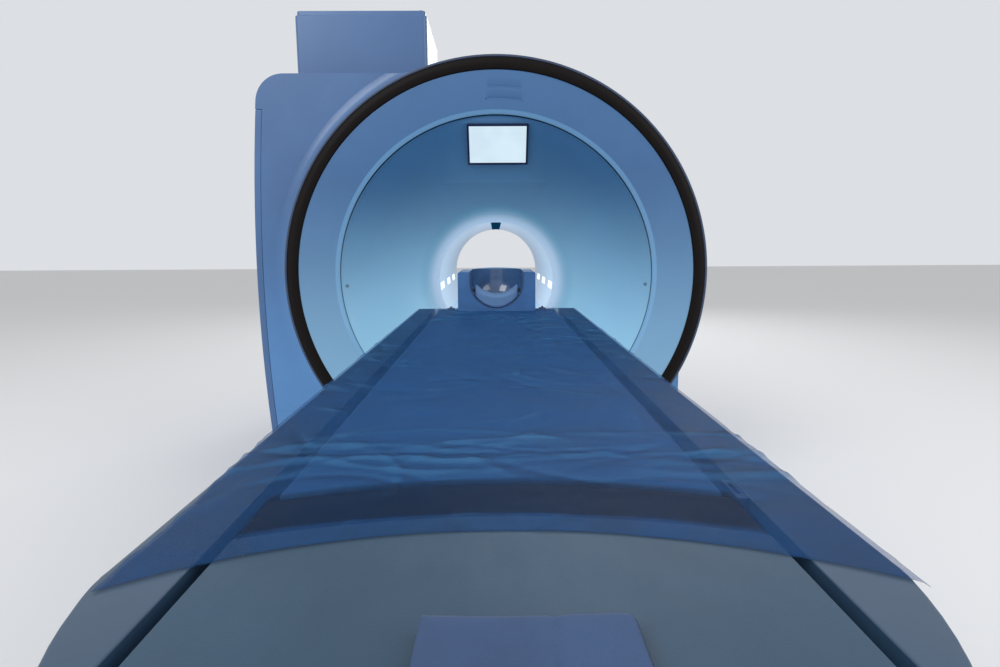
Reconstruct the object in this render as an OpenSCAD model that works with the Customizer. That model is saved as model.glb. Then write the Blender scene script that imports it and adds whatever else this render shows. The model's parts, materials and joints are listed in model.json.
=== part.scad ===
// Closed-bore MRI scanner with a patient table, modelled at full size.
// Frame: X to the right seen from the table's foot, Y into the tunnel, Z up.
// The origin is on the floor, straight below the magnet's isocentre.

/* [Tunnel] */
// Radius of the patient tunnel
bore_r = 300; // [290:5:320]
// Height of the tunnel axis above the floor
axis_z = 1050; // [1030:5:1070]
// Half length of the cylindrical tunnel
bore_half = 715; // [690:5:740]
// Wall of the tunnel liner
liner_wall = 8; // [5:1:10]
// Height of the tunnel floor plate below the axis
floor_drop = 163; // [160:1:170]
// Thickness of the tunnel floor plate
floor_t = 12; // [8:1:14]

/* [Front ring and funnel] */
// Distance from the isocentre to the ring's front plane
ring_front = 1135; // [1115:5:1155]
// Height of the ring's centre above the tunnel axis
ring_up = 38; // [30:1:44]
// Outer radius of the drum shell
drum_r = 966; // [950:2:980]
// Thickness of the drum shell's bright edge
drum_wall = 11; // [8:1:14]
// Width of the dark trim ring
trim_w = 53; // [45:1:60]
// Radius where the funnel starts
funnel_r = 715; // [700:5:730]
// Width of the joint round the funnel
groove_w = 5; // [3:1:8]
// Depth of the funnel's edge behind the ring's front plane
lip_d = 30; // [25:1:35]
// Radius of the flare between funnel and tunnel
flare_r = 135; // [125:5:145]
// Angle that the flare turns through
flare_turn = 52; // [50:1:54]
// Wall of the moulded covers
shell_t = 8; // [6:1:10]
// Half width of the flat brow that carries the display
brow_half = 235; // [220:5:250]
// Height of the brow's crease above the axis
crease_up = 480; // [470:5:490]

/* [Display] */
// Width of the display's frame
display_w = 277; // [250:1:300]
// Height of the display's frame
display_h = 190; // [170:1:200]
// Thickness of the display's frame
display_t = 14; // [10:1:20]
// Width of the frame's edge
bezel_w = 9; // [6:1:14]

/* [Covers] */
// Distance from the isocentre to the left cover's side
body_left = 1138; // [1120:2:1160]
// Distance from the isocentre to the right cover's side
body_right = 888; // [880:2:896]
// Height of the top cover above the floor
body_top = 2008; // [1990:2:2030]
// Distance from the isocentre to the front cover's face
cover_front = 1015; // [1005:5:1030]
// Distance from the isocentre to the rear cover's face
cover_rear = 945; // [930:5:970]
// Radius of the upper left corner
corner_r = 130; // [110:5:150]
// Radius of the left side's slight bulge
bulge_r = 8900; // [8000:100:10000]
// Height of the kick panels
kick_h = 432; // [410:2:450]
// Thickness of the side, top, front and rear covers
cover_t = 10; // [8:1:14]
// Width of the side cover's return round its front edge
return_w = 31; // [24:1:36]
// Joint between neighbouring covers
seam = 0.8; // [0.6:0.1:0.9]
// Width of the duct box on the roof
duct_w = 640; // [600:5:660]
// Distance from the isocentre to the duct box's left side
duct_left = 970; // [960:5:980]
// Height of the duct box
duct_h = 352; // [330:2:370]
// Length of the duct box along the tunnel
duct_l = 560; // [500:10:600]

/* [Magnet] */
// Outer radius of the magnet's vessel
vessel_r = 850; // [830:5:860]
// Half length of the magnet's vessel
vessel_half = 700; // [690:5:705]
// Bore radius of the magnet's vessel
warm_bore_r = 455; // [450:1:460]
// Half length of the gradient coil
gradient_half = 640; // [600:10:690]
// Half length of the transmit coil
transmit_half = 400; // [380:10:450]
// Inner radius of the gradient coil
gradient_in_r = 370; // [365:1:375]
// Outer radius of the transmit coil
transmit_r = 345; // [335:1:350]
// Distance between the feet across the tunnel
feet_x = 1100; // [1060:10:1120]
// Distance between the feet along the tunnel
feet_y = 1120; // [1060:10:1160]
// Diameter of the floor anchor holes
anchor_d = 22; // [16:1:26]

/* [Patient table] */
// Height of the table's top above the floor, table raised
table_z = 956; // [950:1:958]
// Half width of the table
table_half = 344; // [335:1:350]
// Half width of the sliding top
slide_half = 256.5; // [254:0.5:258]
// Gap between the sliding top and each side strip
slide_gap = 14; // [12:1:18]
// Distance from the isocentre to the table's head end
table_head = 1257; // [1250:1:1265]
// Distance from the isocentre to the table's foot end
table_foot = 3760; // [3700:10:3800]
// Thickness of the mattress
mattress_t = 40; // [35:1:42]
// Thickness of the sliding board
board_t = 23; // [20:1:24]
// Radius of the curved joint at the foot of the mattress
foot_arc_r = 750; // [700:10:800]
// Distance from the isocentre to the foot of the mattress
mattress_foot = 3208; // [3190:2:3230]
// Width of the dark grip recess at the foot of the mattress
grip_w = 96; // [80:2:110]
// Depth of the table's moulded underside
tub_depth = 200; // [190:2:210]

/* [Lift column] */
// Vertical stroke of the table
lift_stroke = 400; // [380:10:420]
// Width of the outer column shroud
column_w = 400; // [380:5:420]
// Length of the outer column shroud
column_l = 1300; // [1200:10:1400]
// Distance from the isocentre to the column's centre
column_y = 2250; // [2200:10:2300]
// Wall of the column shrouds
shroud_t = 6; // [4:1:8]
// Gap between neighbouring shrouds
shroud_gap = 5; // [4:0.5:7]
// Thickness of the floor plate
plate_t = 28; // [20:1:32]

/* [Head coil] */
// Width of the head coil
coil_w = 325; // [315:1:335]
// Length of the head coil
coil_l = 290; // [270:5:300]
// Height of the head coil above the table's top
coil_up = 165; // [155:1:175]
// Distance from the isocentre to the head coil's front
coil_front = 1375; // [1370:1:1385]
// Radius of the head coil's hollow
hollow_r = 112.5; // [108:0.5:118]
// Wall of the hollow's glossy liner
hollow_wall = 4; // [3:0.5:6]

/* [Sheet and cloth] */
// Thickness of the drape sheet
sheet_t = 2; // [1:0.5:3]
// Distance from the isocentre to the sheet's near edge
sheet_foot = 3339; // [3320:1:3350]
// Radius of the sheet's curved near edge
sheet_arc_r = 650; // [600:10:700]
// Width of the folded cloth
cloth_w = 146; // [130:2:160]
// Length of the folded cloth
cloth_l = 225; // [200:5:235]
// Thickness of the folded cloth
cloth_t = 20; // [14:1:24]

/* [Hidden] */
$fn = 96;
fit = 0.3;
far = 3000;

// Planes along the tunnel
ring_y = -ring_front;
mouth_y = -bore_half;
front_y = -cover_front;
ring_z = axis_z + ring_up;

// Radii of the front ring, from the outside in
trim_r = drum_r - drum_wall;
face_r = trim_r - trim_w;
groove_r = funnel_r + groove_w;
chamfer_w = 15;
bead_h = 10;

// Centres of the left side's bulge and of the upper left corner
bulge_x = bulge_r - body_left;
bulge_z = axis_z - 40;
corner_z = body_top - corner_r;
bulge_steps = 24;
corner_a = asin((corner_z - bulge_z) / (bulge_r - corner_r));
corner_x = bulge_x - (bulge_r - corner_r) * cos(corner_a);

// Shallow joints of the rear cover's panels
joint_x = 620;
joint_w = 4;
joint_d = 3;

// Heights at which the side covers meet the top cover, and half the width of the roof's flat
side_top = body_top - 1.2 * corner_r;
shoulder_top = 1502;
roof_x = 400;

// Rear bell
bell_lip = 5;
bell_depth = cover_rear + bell_lip - bore_half;
bell_r = bore_r + bell_depth;

// Where the funnel's straight wall meets its flare
flare_y = mouth_y - flare_r * sin(flare_turn);
lip_y = ring_y + lip_d;
flare_steps = 8;
fixing_r = 695;
brow_steps = 4;

// Magnet: end hoops, and the gradient coil that fills the vessel's bore
hoop_w = 25;
hoop_h = 13;
gradient_r = warm_bore_r - fit;

// The brow is a flat chord of the funnel between two heights above the axis
brow_top_up = 722;
brow_top_y = lip_y + 6;
brow_step = 4;
crease_y = ring_y + 184;
brow_end_up = 352;
brow_end_y = ring_y + 312;
brow_tilt = atan2(crease_y - brow_top_y, brow_top_up - crease_up);
display_x = 10;
display_up = 640;
display_y = brow_top_y + (brow_top_up - display_up) * tan(brow_tilt);

// Tunnel lights: glowing panes just below the axis, on both walls
pane_l = 230;
pane_h = 38;
pane_t = 3;
pane_drop = 36;
pane_y = [-535, -95, 345];
strip_w = 55;

// Heights of the table, raised
board_top = table_z - mattress_t;
board_z = board_top - board_t;
floor_z = axis_z - floor_drop;
strip_in = slide_half + slide_gap;
strip_t = 26;
strip_edge = 6;
tub_top = table_z - strip_t;
tub_z = table_z - tub_depth;
column_z0 = plate_t;
stage_h = 252;
foot_side_r = 432;
foot_end_r = 270;
foot_start = foot_start_at(table_half);
cap_front = mattress_foot + grip_w;
coil_back = coil_front - coil_l;
coil_top = table_z + coil_up;
hollow_z = axis_z + 27;
clip_x = 91;
tongue_half = 182;
board_head = table_head - 75;
tongue_head = board_head - 92;

// Distance from the isocentre to where the foot's curve starts, for a half width
function foot_start_at(a) =
    table_foot - foot_end_r - sqrt(pow(foot_side_r - foot_end_r, 2) - pow(foot_side_r - a, 2));

// Lays a drawing of X and Z down as a slab between two planes across the tunnel
module slab(y0, y1) {
    translate([0, y1, 0]) rotate([90, 0, 0]) linear_extrude(y1 - y0) children();
}

// Lays a drawing of Y and Z down as a slab between two planes along the tunnel
module side_slab(x0, x1) {
    translate([x0, 0, 0]) rotate([90, 0, 90]) linear_extrude(x1 - x0) children();
}

// Turns a drawing of radius and Y round a line along the tunnel
module turned(z) {
    translate([0, 0, z]) rotate([-90, 0, 0]) rotate_extrude($fn = 180) children();
}

// Height of the funnel's centre line, which leans from the ring's centre to the mouth's
function lean_z(y) = axis_z + ring_up * (mouth_y - y) / (mouth_y - lip_y);

// Height of the brow's flat face at a plane of the funnel; far away where there is no brow
function brow_z(y) = axis_z + lookup(y, [[brow_top_y - brow_step, far], [brow_top_y, brow_top_up],
                                         [crease_y, crease_up], [brow_end_y, brow_end_up], [mouth_y, far]]);

// Skins a closed loop of [radius, y, flat] points with rings whose centres lie on the leaning
// line. Rings with flat = 1 are cut level at the brow's height.
module leaned_skin(loop) {
    n = len(loop);
    ring_n = 88;
    points = [for (p = loop, i = [0 : ring_n - 1])
                  let (a = i * 360 / ring_n, z = lean_z(p[1]) + p[0] * sin(a))
                  [p[0] * cos(a), p[1], p[2] == 1 ? min(z, brow_z(p[1])) : z]];
    faces = [for (j = [0 : n - 1], i = [0 : ring_n - 1], half = [0, 1])
                 let (k = (j + 1) % n, m = (i + 1) % ring_n)
                 half == 0 ? [k * ring_n + m, j * ring_n + m, j * ring_n + i]
                           : [k * ring_n + i, k * ring_n + m, j * ring_n + i]];
    polyhedron(points, faces, convexity = 4);
}

// Rounded rectangle of round corners, centred
module rounded(w, l, r) {
    square([w - 2 * r, l], center = true);
    square([w, l - 2 * r], center = true);
    for (x = [-1, 1], y = [-1, 1]) translate([x * (w / 2 - r), y * (l / 2 - r)]) circle(r);
}

// Outline of the covers seen from the front, pulled in by d at its sides and top. The upper left
// corner runs smoothly into the bulging side.
module body_outline(d) {
    shoulder_z = body_top - body_right;
    translate([0, shoulder_z]) circle(body_right - d, $fn = 180);
    square([body_right - d, shoulder_z]);
    polygon(concat(bulge_line(d), corner_line(d), [[0, body_top - d], [0, 0]]));
}

// Points of the bulging left side, pulled in by d, from the floor to where the corner starts
function bulge_line(d) =
    let (low = asin(-bulge_z / (bulge_r - d)))
    [for (i = [0 : bulge_steps]) let (a = low + (corner_a - low) * i / bulge_steps)
         [bulge_x - (bulge_r - d) * cos(a), bulge_z + (bulge_r - d) * sin(a)]];

// Points of the round corner that follows the bulge up to the flat top, pulled in by d
function corner_line(d) =
    [for (i = [1 : bulge_steps]) let (a = corner_a + (90 - corner_a) * i / bulge_steps)
         [corner_x - (corner_r - d) * cos(a), corner_z + (corner_r - d) * sin(a)]];

// Outline of the table seen from above, pulled in by d, up to its head end
module table_outline(d, head) {
    a = table_half;
    tangent_y = -foot_start - (foot_side_r - d) * (table_foot - foot_end_r - foot_start) / (foot_side_r - foot_end_r);
    difference() {
        union() {
            translate([-a + d, -foot_start]) square([2 * (a - d), foot_start - head]);
            intersection() {
                translate([a - foot_side_r, -foot_start]) circle(foot_side_r - d);
                translate([foot_side_r - a, -foot_start]) circle(foot_side_r - d);
                translate([-far, tangent_y]) square([2 * far, far]);
            }
            translate([0, -table_foot + foot_end_r]) circle(foot_end_r - d);
        }
        translate([-far, -head]) square([2 * far, far]);
    }
}

// Raised hoops round both ends of the magnet's vessel, solid down to the radius from, d larger
module vessel_hoops(from, d) {
    for (s = [-1, 1]) turned(axis_z) translate([from, s * (vessel_half - 32) - hoop_w / 2 - d])
        square([vessel_r + hoop_h + d - from, hoop_w + 2 * d]);
}

module magnet_vessel() color("Gainsboro") difference() {
    union() {
        turned(axis_z) translate([warm_bore_r, -vessel_half]) square([vessel_r - warm_bore_r, 2 * vessel_half]);
        vessel_hoops(vessel_r - 1, 0);
    }
    turned(axis_z) for (s = [-1, 1])
        translate([vessel_r, s * vessel_half]) rotate(45) square(20, center = true);
}

module magnet_feet() color("SlateGray") {
    foot_w = 210;
    foot_l = 220;
    flange_t = 25;
    flange_w = 330;
    difference() {
        for (x = [-1, 1], y = [-1, 1]) translate([x * feet_x / 2, y * feet_y / 2, 0]) {
            translate([-foot_w / 2, -foot_l / 2, 0]) cube([foot_w, foot_l, 520]);
            translate([-flange_w / 2, -foot_l / 2, 0]) cube([flange_w, foot_l, flange_t]);
        }
        turned(axis_z) translate([0, -far]) square([vessel_r + fit, 2 * far]);
        vessel_hoops(0, fit);
        for (x = [-1, 1], y = [-1, 1])
            translate([x * (feet_x / 2 + foot_w / 2 + 30), y * feet_y / 2, -1]) cylinder(d = anchor_d, h = flange_t + 2);
    }
}

module service_turret() color("Silver") {
    turret_x = -duct_left + duct_w / 2;
    turret_y = duct_y0() + duct_l / 2;
    turret_r = 145;
    neck_z = axis_z + sqrt(max(0, pow(vessel_r, 2) - pow(abs(turret_x) + turret_r, 2)));
    difference() {
        translate([turret_x, turret_y, neck_z]) cylinder(r = turret_r, h = body_top + 190 - neck_z);
        turned(axis_z) translate([0, -far]) square([vessel_r + fit, 2 * far]);
    }
    translate([turret_x, turret_y, body_top + 190]) cylinder(r = turret_r * 0.55, h = 70);
    translate([turret_x + turret_r * 0.2, turret_y, body_top + 260]) cylinder(r = 38, h = 50);
}

module gradient_coil() color("DarkGoldenrod")
    turned(axis_z) translate([gradient_in_r, -gradient_half])
        square([gradient_r - gradient_in_r, 2 * gradient_half]);

module transmit_coil() color("Peru") {
    sheet_w = 9;
    carrier_w = 40;
    carrier_in = transmit_r - sheet_w - 5;
    turned(axis_z) translate([transmit_r - sheet_w, -transmit_half]) square([sheet_w, 2 * transmit_half]);
    for (s = [-1, 1]) turned(axis_z) translate([carrier_in, s * transmit_half - carrier_w / 2])
        square([gradient_in_r - fit - carrier_in, carrier_w]);
}

module bore_liner() color("AliceBlue") difference() {
    turned(axis_z) translate([bore_r, mouth_y]) square([liner_wall, 2 * bore_half]);
    for (s = [0, 1], y = pane_y) mirror([s, 0, 0])
        translate([bore_r - 40, y - pane_l / 2, axis_z - pane_drop - pane_h / 2]) cube([80, pane_l, pane_h]);
    slab(mouth_y - 1, bore_half + 1) translate([-strip_w / 2, axis_z + bore_r - 20]) square([strip_w, 60]);
}

// Panes fill their windows in the liner with a small joint all round
module side_lights() color("White") intersection() {
    turned(axis_z) translate([bore_r + 1, mouth_y]) square([liner_wall - 2, 2 * bore_half]);
    union() for (s = [0, 1], y = pane_y) mirror([s, 0, 0])
        translate([bore_r - 40, y - pane_l / 2 + fit, axis_z - pane_drop - pane_h / 2 + fit])
            cube([80, pane_l - 2 * fit, pane_h - 2 * fit]);
}

module crown_strip() color("DarkSlateGray") intersection() {
    turned(axis_z) translate([bore_r + 2, mouth_y + 1]) square([liner_wall - 2, 2 * bore_half - 2]);
    slab(mouth_y, bore_half) translate([-strip_w / 2 + fit, axis_z]) square([strip_w - 2 * fit, far]);
}

// Floor of the tunnel: a plate on two ribs that stand on the liner
module bore_floor() color("White") {
    half = sqrt(pow(bore_r, 2) - pow(floor_drop + floor_t, 2)) - 4;
    slab(mouth_y, bore_half + 60) difference() {
        union() {
            translate([-half, floor_z - floor_t]) square([2 * half, floor_t]);
            for (s = [-1, 1]) translate([s * half * 0.62 - 6, axis_z - bore_r]) square([12, bore_r - floor_drop - 6]);
        }
        difference() {
            translate([0, axis_z]) circle(2 * bore_r);
            translate([0, axis_z]) circle(bore_r - fit);
        }
    }
    for (s = [-1, 1]) translate([s * 150 - 14, mouth_y, floor_z]) cube([28, 2 * bore_half + 60, board_z - floor_z - fit]);
}

// Bridge between the funnel's rim and the tunnel floor, with stepped edge ridges
module bridge() color("White") {
    half = 250;
    front = ring_y + 78;
    drop = floor_z - floor_t;
    step_w = 9;
    slab(front, flare_y) union() {
        translate([-half - 46, drop]) square([2 * half + 92, floor_t]);
        for (s = [0, 1], i = [0 : 2]) mirror([s, 0])
            translate([262 + i * 12, drop]) square([step_w, floor_t + 18 + i * 5]);
    }
    slab(flare_y, mouth_y - fit) translate([-half + 22, drop]) square([2 * half - 44, floor_t]);
    for (s = [-1, 1]) {
        translate([s * 150 - 14, front, floor_z]) cube([28, mouth_y - fit - front, board_z - floor_z - fit]);
        side_slab(s * 150 - 8, s * 150 + 8)
            polygon([[front, drop], [mouth_y - fit, drop], [mouth_y - fit, drop - 60], [front + 120, drop - 22], [front, drop - 12]]);
    }
}

module mouth_light_ring() color("White")
    turned(axis_z) translate([bore_r + liner_wall + fit, mouth_y]) square([14, 30]);

// Wall with a flat brow under its crown, which carries the display
module funnel() color("LightSteelBlue")
    leaned_skin(concat(visible_line(), reverse(funnel_line(shell_t))));

function reverse(list) = [for (i = [len(list) - 1 : -1 : 0]) list[i]];

// Radius of the straight part of the visible wall at a plane
function cone_r(y) = funnel_r - (y - lip_y) * tan(flare_turn);

// Points of the funnel's wall, set back by t: a straight cone that flares into the tunnel
function funnel_line(t) = concat([[funnel_r + 2, lip_y, 0], [cone_r(lip_y + 14) + t / cos(flare_turn), lip_y + 14, 0]],
    [for (i = [0 : flare_steps]) let (a = flare_turn * (1 - i / flare_steps), r = flare_r - t)
         [bore_r + flare_r - r * cos(a), mouth_y - r * sin(a), 0]]);

// Visible wall, with rings where the brow starts, creases and fades out
function visible_line() = concat([[funnel_r, lip_y, 0], [cone_r(brow_top_y - brow_step), brow_top_y - brow_step, 0]],
    [for (i = [0 : brow_steps]) let (y = brow_top_y + (crease_y - brow_top_y) * i / brow_steps) [cone_r(y), y, 1]],
    [for (i = [1 : brow_steps]) let (y = crease_y + (flare_y - 4 - crease_y) * i / brow_steps) [cone_r(y), y, 1]],
    [for (i = [0 : flare_steps]) let (a = flare_turn * (1 - i / flare_steps))
         [bore_r + flare_r - flare_r * cos(a), mouth_y - flare_r * sin(a), i < flare_steps / 2 ? 1 : 0]]);

// Places things on the brow: X across, Y up its slope and Z out of its face
module on_brow() {
    translate([display_x, display_y, axis_z + display_up]) rotate([90 + brow_tilt, 0, 0]) children();
}

module display_bezel() color("MidnightBlue") on_brow() translate([0, 0, fit]) difference() {
    linear_extrude(display_t) rounded(display_w, display_h, 4);
    translate([0, 0, display_t - 6]) linear_extrude(display_t)
        square([display_w - 2 * bezel_w, display_h - 2 * bezel_w], center = true);
}

module display_screen() color("LightCyan") on_brow() translate([0, 0, display_t - 6 + 2 * fit])
    linear_extrude(4) square([display_w - 2 * bezel_w - 2 * fit, display_h - 2 * bezel_w - 2 * fit], center = true);

// Round caps over the funnel's fixings, flat on its wall at both sides
module cover_fixings() color("SteelBlue") {
    y = lip_y + (funnel_r - fixing_r) / tan(flare_turn);
    for (side = [0, 1]) mirror([side, 0, 0])
        translate([0, y, lean_z(y)]) rotate([0, asin(ring_up / fixing_r), 0]) translate([fixing_r, 0, 0])
            rotate([90, 0, flare_turn - 90]) translate([0, 0, 2 * fit]) cylinder(d = 16, h = 3);
}

// Two vent slots with scooped upper edges, cut through the face ring
module vent_slots(extra) {
    for (v = [[42, 867, 150], [39, 818, 165]])
        translate([v[0] - v[2] / 2 - extra, ring_y - 40, axis_z + v[1] - 3 - extra])
            cube([v[2] + 2 * extra, 120, 6 + 2 * extra]);
}

module vent_scoops() {
    for (v = [[42, 867, 150], [39, 818, 165]])
        translate([v[0] - v[2] / 2, ring_y + 1, axis_z + v[1]]) rotate([-28, 0, 0]) cube([v[2], 12, 34]);
}

module face_ring() color("LightSteelBlue") difference() {
    turned(ring_z) difference() {
        polygon([[groove_r, lip_y + 2], [groove_r, lip_y - 8], [groove_r + chamfer_w, ring_y + 12], [face_r - fit, ring_y],
                 [face_r - fit, ring_y + shell_t + 4], [groove_r + chamfer_w, lip_y + 2]]);
    }
    vent_slots(0);
    vent_scoops();
}

module vent_backing() color("Black")
    translate([-65, ring_y + lip_d + fit, axis_z + 795]) cube([215, 8, 96]);

module dark_trim_ring() color("#14100f") turned(ring_z) difference() {
    union() {
        polygon([[face_r, ring_y + 14], [face_r, ring_y - 2], [face_r + 14, ring_y - bead_h],
                 [trim_r - fit - 16, ring_y - bead_h + 1], [trim_r - fit, ring_y + 3], [trim_r - fit, ring_y + 14]]);
        translate([face_r + 14, ring_y - bead_h + 8]) circle(8);
        translate([trim_r - 17, ring_y - bead_h + 9]) circle(8);
    }
}

// Drum shell: bright rim, wall and rounded back edge, split into six arcs
module drum_shell() color("SlateGray") difference() {
    back = front_y - fit;
    round = 26;
    turned(ring_z) difference() {
        union() {
            translate([trim_r, ring_y + 4]) square([drum_wall, back - round - ring_y - 4]);
            translate([trim_r + drum_wall / 2, ring_y + 4]) circle(drum_wall / 2);
            translate([face_r + 6, ring_y + 14 + fit]) square([drum_r - face_r - 7, 8]);
            translate([drum_r - round, back - round]) intersection() {
                circle(round);
                square(round);
            }
            translate([trim_r - 110, back - drum_wall]) square([110 + drum_wall - round, drum_wall]);
        }
        translate([trim_r - 40, back - 40 - drum_wall]) circle(40 - 5);
    }
    for (a = [53.5, 126.5, 194.7, 345.3, 250, 290]) translate([0, 0, ring_z])
        rotate([0, -a, 0]) translate([trim_r - 200, ring_y - 50, -0.4]) cube([400, 400, 0.8]);
}

// Frame hoops that carry the covers, front and rear
module cover_frame() color("DimGray") {
    for (y = [front_y + cover_t + fit, cover_rear - cover_t - fit - 40])
        slab(y, y + 40) difference() {
            body_outline(cover_t + fit);
            body_outline(cover_t + 45);
        }
    // Rails between the hoops at both sides: [left end, width, underside]
    rail_h = 40;
    left_x = -body_left + cover_t + 2;
    right_x = body_right - cover_t - 13;
    for (r = [[left_x + 55, 29, 12], [right_x - 21, 33, 12], [left_x, 30, axis_z - rail_h / 2],
              [right_x, 12, axis_z - rail_h / 2]])
        translate([r[0], front_y + cover_t + fit + 30, r[2]])
            cube([r[1], cover_rear + cover_front - 2 * cover_t - 2 * fit - 60, rail_h]);
    // Brackets from the upper rails to the magnet
    bracket_l = 120;
    translate([left_x + 16, -bracket_l / 2, axis_z - rail_h / 2]) cube([-vessel_r - fit - left_x - 16, bracket_l, rail_h]);
    translate([vessel_r + fit, -bracket_l / 2, axis_z - rail_h / 2]) cube([right_x + 5 - vessel_r - fit, bracket_l, rail_h]);
}

// Outline of the front panels: the left side cover's return takes the left edge
module front_outline() {
    intersection() {
        body_outline(0);
        union() {
            body_outline(return_w + seam);
            translate([corner_x, 0]) square([2 * far, far]);
            translate([-far, side_top + seam]) square([2 * far, far]);
        }
    }
}

// Concave sweep from the front cover up to the drum, on the cover's own outline
module front_cover() color("LightSteelBlue") {
    slab(front_y, front_y + cover_t) difference() {
        front_outline();
        translate([0, ring_z]) circle(trim_r - 104, $fn = 180);
        translate([-far, -1]) square([2 * far, kick_h + 1]);
    }
    intersection() {
        turned(ring_z) sweep_profile();
        slab(front_y - 100, front_y) difference() {
            body_outline(2);
            translate([-far, -1]) square([2 * far, kick_h + 1]);
            translate([-200, -far / 2]) square([far, far * 2]);
        }
    }
}

module sweep_profile() {
    sweep = 78;
    base = drum_r + fit;
    difference() {
        translate([base, front_y - sweep]) square([sweep, sweep]);
        translate([base + sweep + 1, front_y - sweep - 1]) circle(sweep);
    }
}

module front_kick_panel() color("LightSteelBlue") {
    slab(front_y, front_y + cover_t) difference() {
        intersection() {
            front_outline();
            translate([-body_left, 2]) square([body_left + body_right, kick_h - seam - 2]);
        }
        translate([0, ring_z]) circle(trim_r - 104, $fn = 180);
    }
    intersection() {
        turned(ring_z) sweep_profile();
        slab(front_y - 100, front_y) intersection() {
            body_outline(2);
            translate([-body_left, 2]) square([body_left - 200, kick_h - seam - 2]);
        }
    }
}

// Ring of cover material between the front and rear covers
module side_ring() {
    slab(front_y + cover_t + seam, cover_rear - cover_t - seam) difference() {
        body_outline(0);
        body_outline(cover_t);
    }
}

module left_side_cover() color("LightSteelBlue") intersection() {
    union() {
        side_ring();
        slab(front_y, front_y + cover_t) difference() {
            body_outline(0);
            body_outline(return_w);
        }
        slab(front_y, front_y + cover_t + seam + 1) difference() {
            body_outline(0);
            body_outline(cover_t);
        }
    }
    translate([-far, -far, 2]) cube([far - roof_x, 2 * far, side_top - 2]);
}

module right_side_cover() color("LightSteelBlue") intersection() {
    side_ring();
    translate([roof_x, -far, 2]) cube([far, 2 * far, shoulder_top - 2]);
}

module top_cover() color("LightSteelBlue") difference() {
    side_ring();
    translate([-far, -far, -1]) cube([far - roof_x, 2 * far, side_top + seam + 1]);
    translate([roof_x - 2, -far, -1]) cube([far, 2 * far, shoulder_top + seam + 1]);
    duct_void(20);
}

// Opening below the duct box
module duct_void(d) {
    translate([-duct_left + d, duct_y0() + d, body_top - 60]) cube([duct_w - 2 * d, duct_l - 2 * d, 300]);
}

function duct_y0() = front_y + 230;

module duct_cover() color("LightSteelBlue") difference() {
    r = 22;
    translate([0, 0, body_top + fit]) {
        linear_extrude(duct_h - r) duct_plan(0, r);
        translate([0, 0, duct_h - r]) linear_extrude(r) duct_plan(r * 0.35, r);
        linear_extrude(duct_h) duct_plan(r * 0.8, r);
    }
    translate([0, 0, body_top]) linear_extrude(duct_h - 8) duct_plan(8, r);
}

module duct_plan(d, r) {
    translate([-duct_left + duct_w / 2, duct_y0() + duct_l / 2]) rounded(duct_w - 2 * d, duct_l - 2 * d, r);
}

// Rear cover with panel joints and a row of air slots low down
module rear_cover() color("LightSteelBlue") difference() {
    slot_pitch = 40;
    slot_w = 14;
    slab(cover_rear - cover_t, cover_rear) difference() {
        body_outline(0);
        translate([0, axis_z]) circle(bell_r + 1, $fn = 180);
        translate([-far, -1]) square([2 * far, 3]);
        for (i = [-8 : 8]) translate([i * slot_pitch, 300]) rounded(slot_w, 150, slot_w / 2 - 1);
    }
    slab(cover_rear - joint_d, cover_rear + 1) {
        for (x = [-joint_x, joint_x - joint_w]) translate([x, 0]) square([joint_w, far]);
        for (x = [-far, joint_x]) translate([x, kick_h]) square([far - joint_x, joint_w]);
    }
}

// Rear opening: a bell that meets the liner, with a flange on the rear cover
module rear_flare() color("AliceBlue") turned(axis_z) {
    translate([bell_r, bore_half]) intersection() {
        difference() {
            circle(bell_depth, $fn = 180);
            circle(bell_depth - shell_t, $fn = 180);
        }
        translate([-far, 0]) square([far, far]);
    }
    translate([bell_r - 1, cover_rear + fit]) square([26, bell_lip - fit]);
}

module table_base() color("LightSlateGray") {
    front = -column_y - column_l / 2 - 60;
    linear_extrude(plate_t) {
        translate([0, front / 2 + front_y / 2 - fit / 2]) rounded(column_w + 90, front_y - front - fit, 30);
    }
}

// One column shroud: stage 0 is the outer one, the others run in it on glides at their lower edge
module shroud(stage, z0) {
    d = stage * (shroud_t + shroud_gap);
    glide_h = 30;
    translate([0, -column_y, z0]) {
        linear_extrude(stage_h) difference() {
            rounded(column_w - 2 * d, column_l - 2 * d, 60 - d);
            rounded(column_w - 2 * (d + shroud_t), column_l - 2 * (d + shroud_t), 60 - d - shroud_t);
        }
        if (stage > 0) for (s = [-1, 1]) {
            translate([s * (column_w / 2 - d + shroud_gap / 2 - fit), 0, glide_h / 2])
                cube([shroud_gap, column_l / 2, glide_h], center = true);
            translate([0, s * (column_l / 2 - d + shroud_gap / 2 - fit), glide_h / 2])
                cube([column_w / 2, shroud_gap, glide_h], center = true);
        }
    }
}

module outer_shroud() color("Gainsboro") shroud(0, column_z0);

module middle_shroud() color("Silver") shroud(1, column_z0 + 2 + lift_stroke / 2);

module inner_shroud() color("Gainsboro") {
    z0 = column_z0 + 4 + lift_stroke;
    shroud(2, z0);
    translate([0, -column_y, z0 + stage_h]) linear_extrude(tub_z - z0 - stage_h)
        rounded(column_w - 4 * (shroud_t + shroud_gap), column_l - 4 * (shroud_t + shroud_gap), 38);
}

module lift_cylinder() color("DimGray") translate([0, -column_y, column_z0]) difference() {
    cylinder(r = 60, h = 245);
    translate([0, 0, 8]) cylinder(r = 48, h = 245);
}

module lift_stage() color("SteelBlue") translate([0, -column_y, column_z0 + 10 + lift_stroke / 2]) difference() {
    cylinder(r = 47.5, h = 240);
    translate([0, 0, 8]) cylinder(r = 34, h = 240);
}

module lift_rod() color("Silver") translate([0, -column_y, column_z0 + 20 + lift_stroke])
    cylinder(r = 33.5, h = stage_h - 16);

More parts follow.
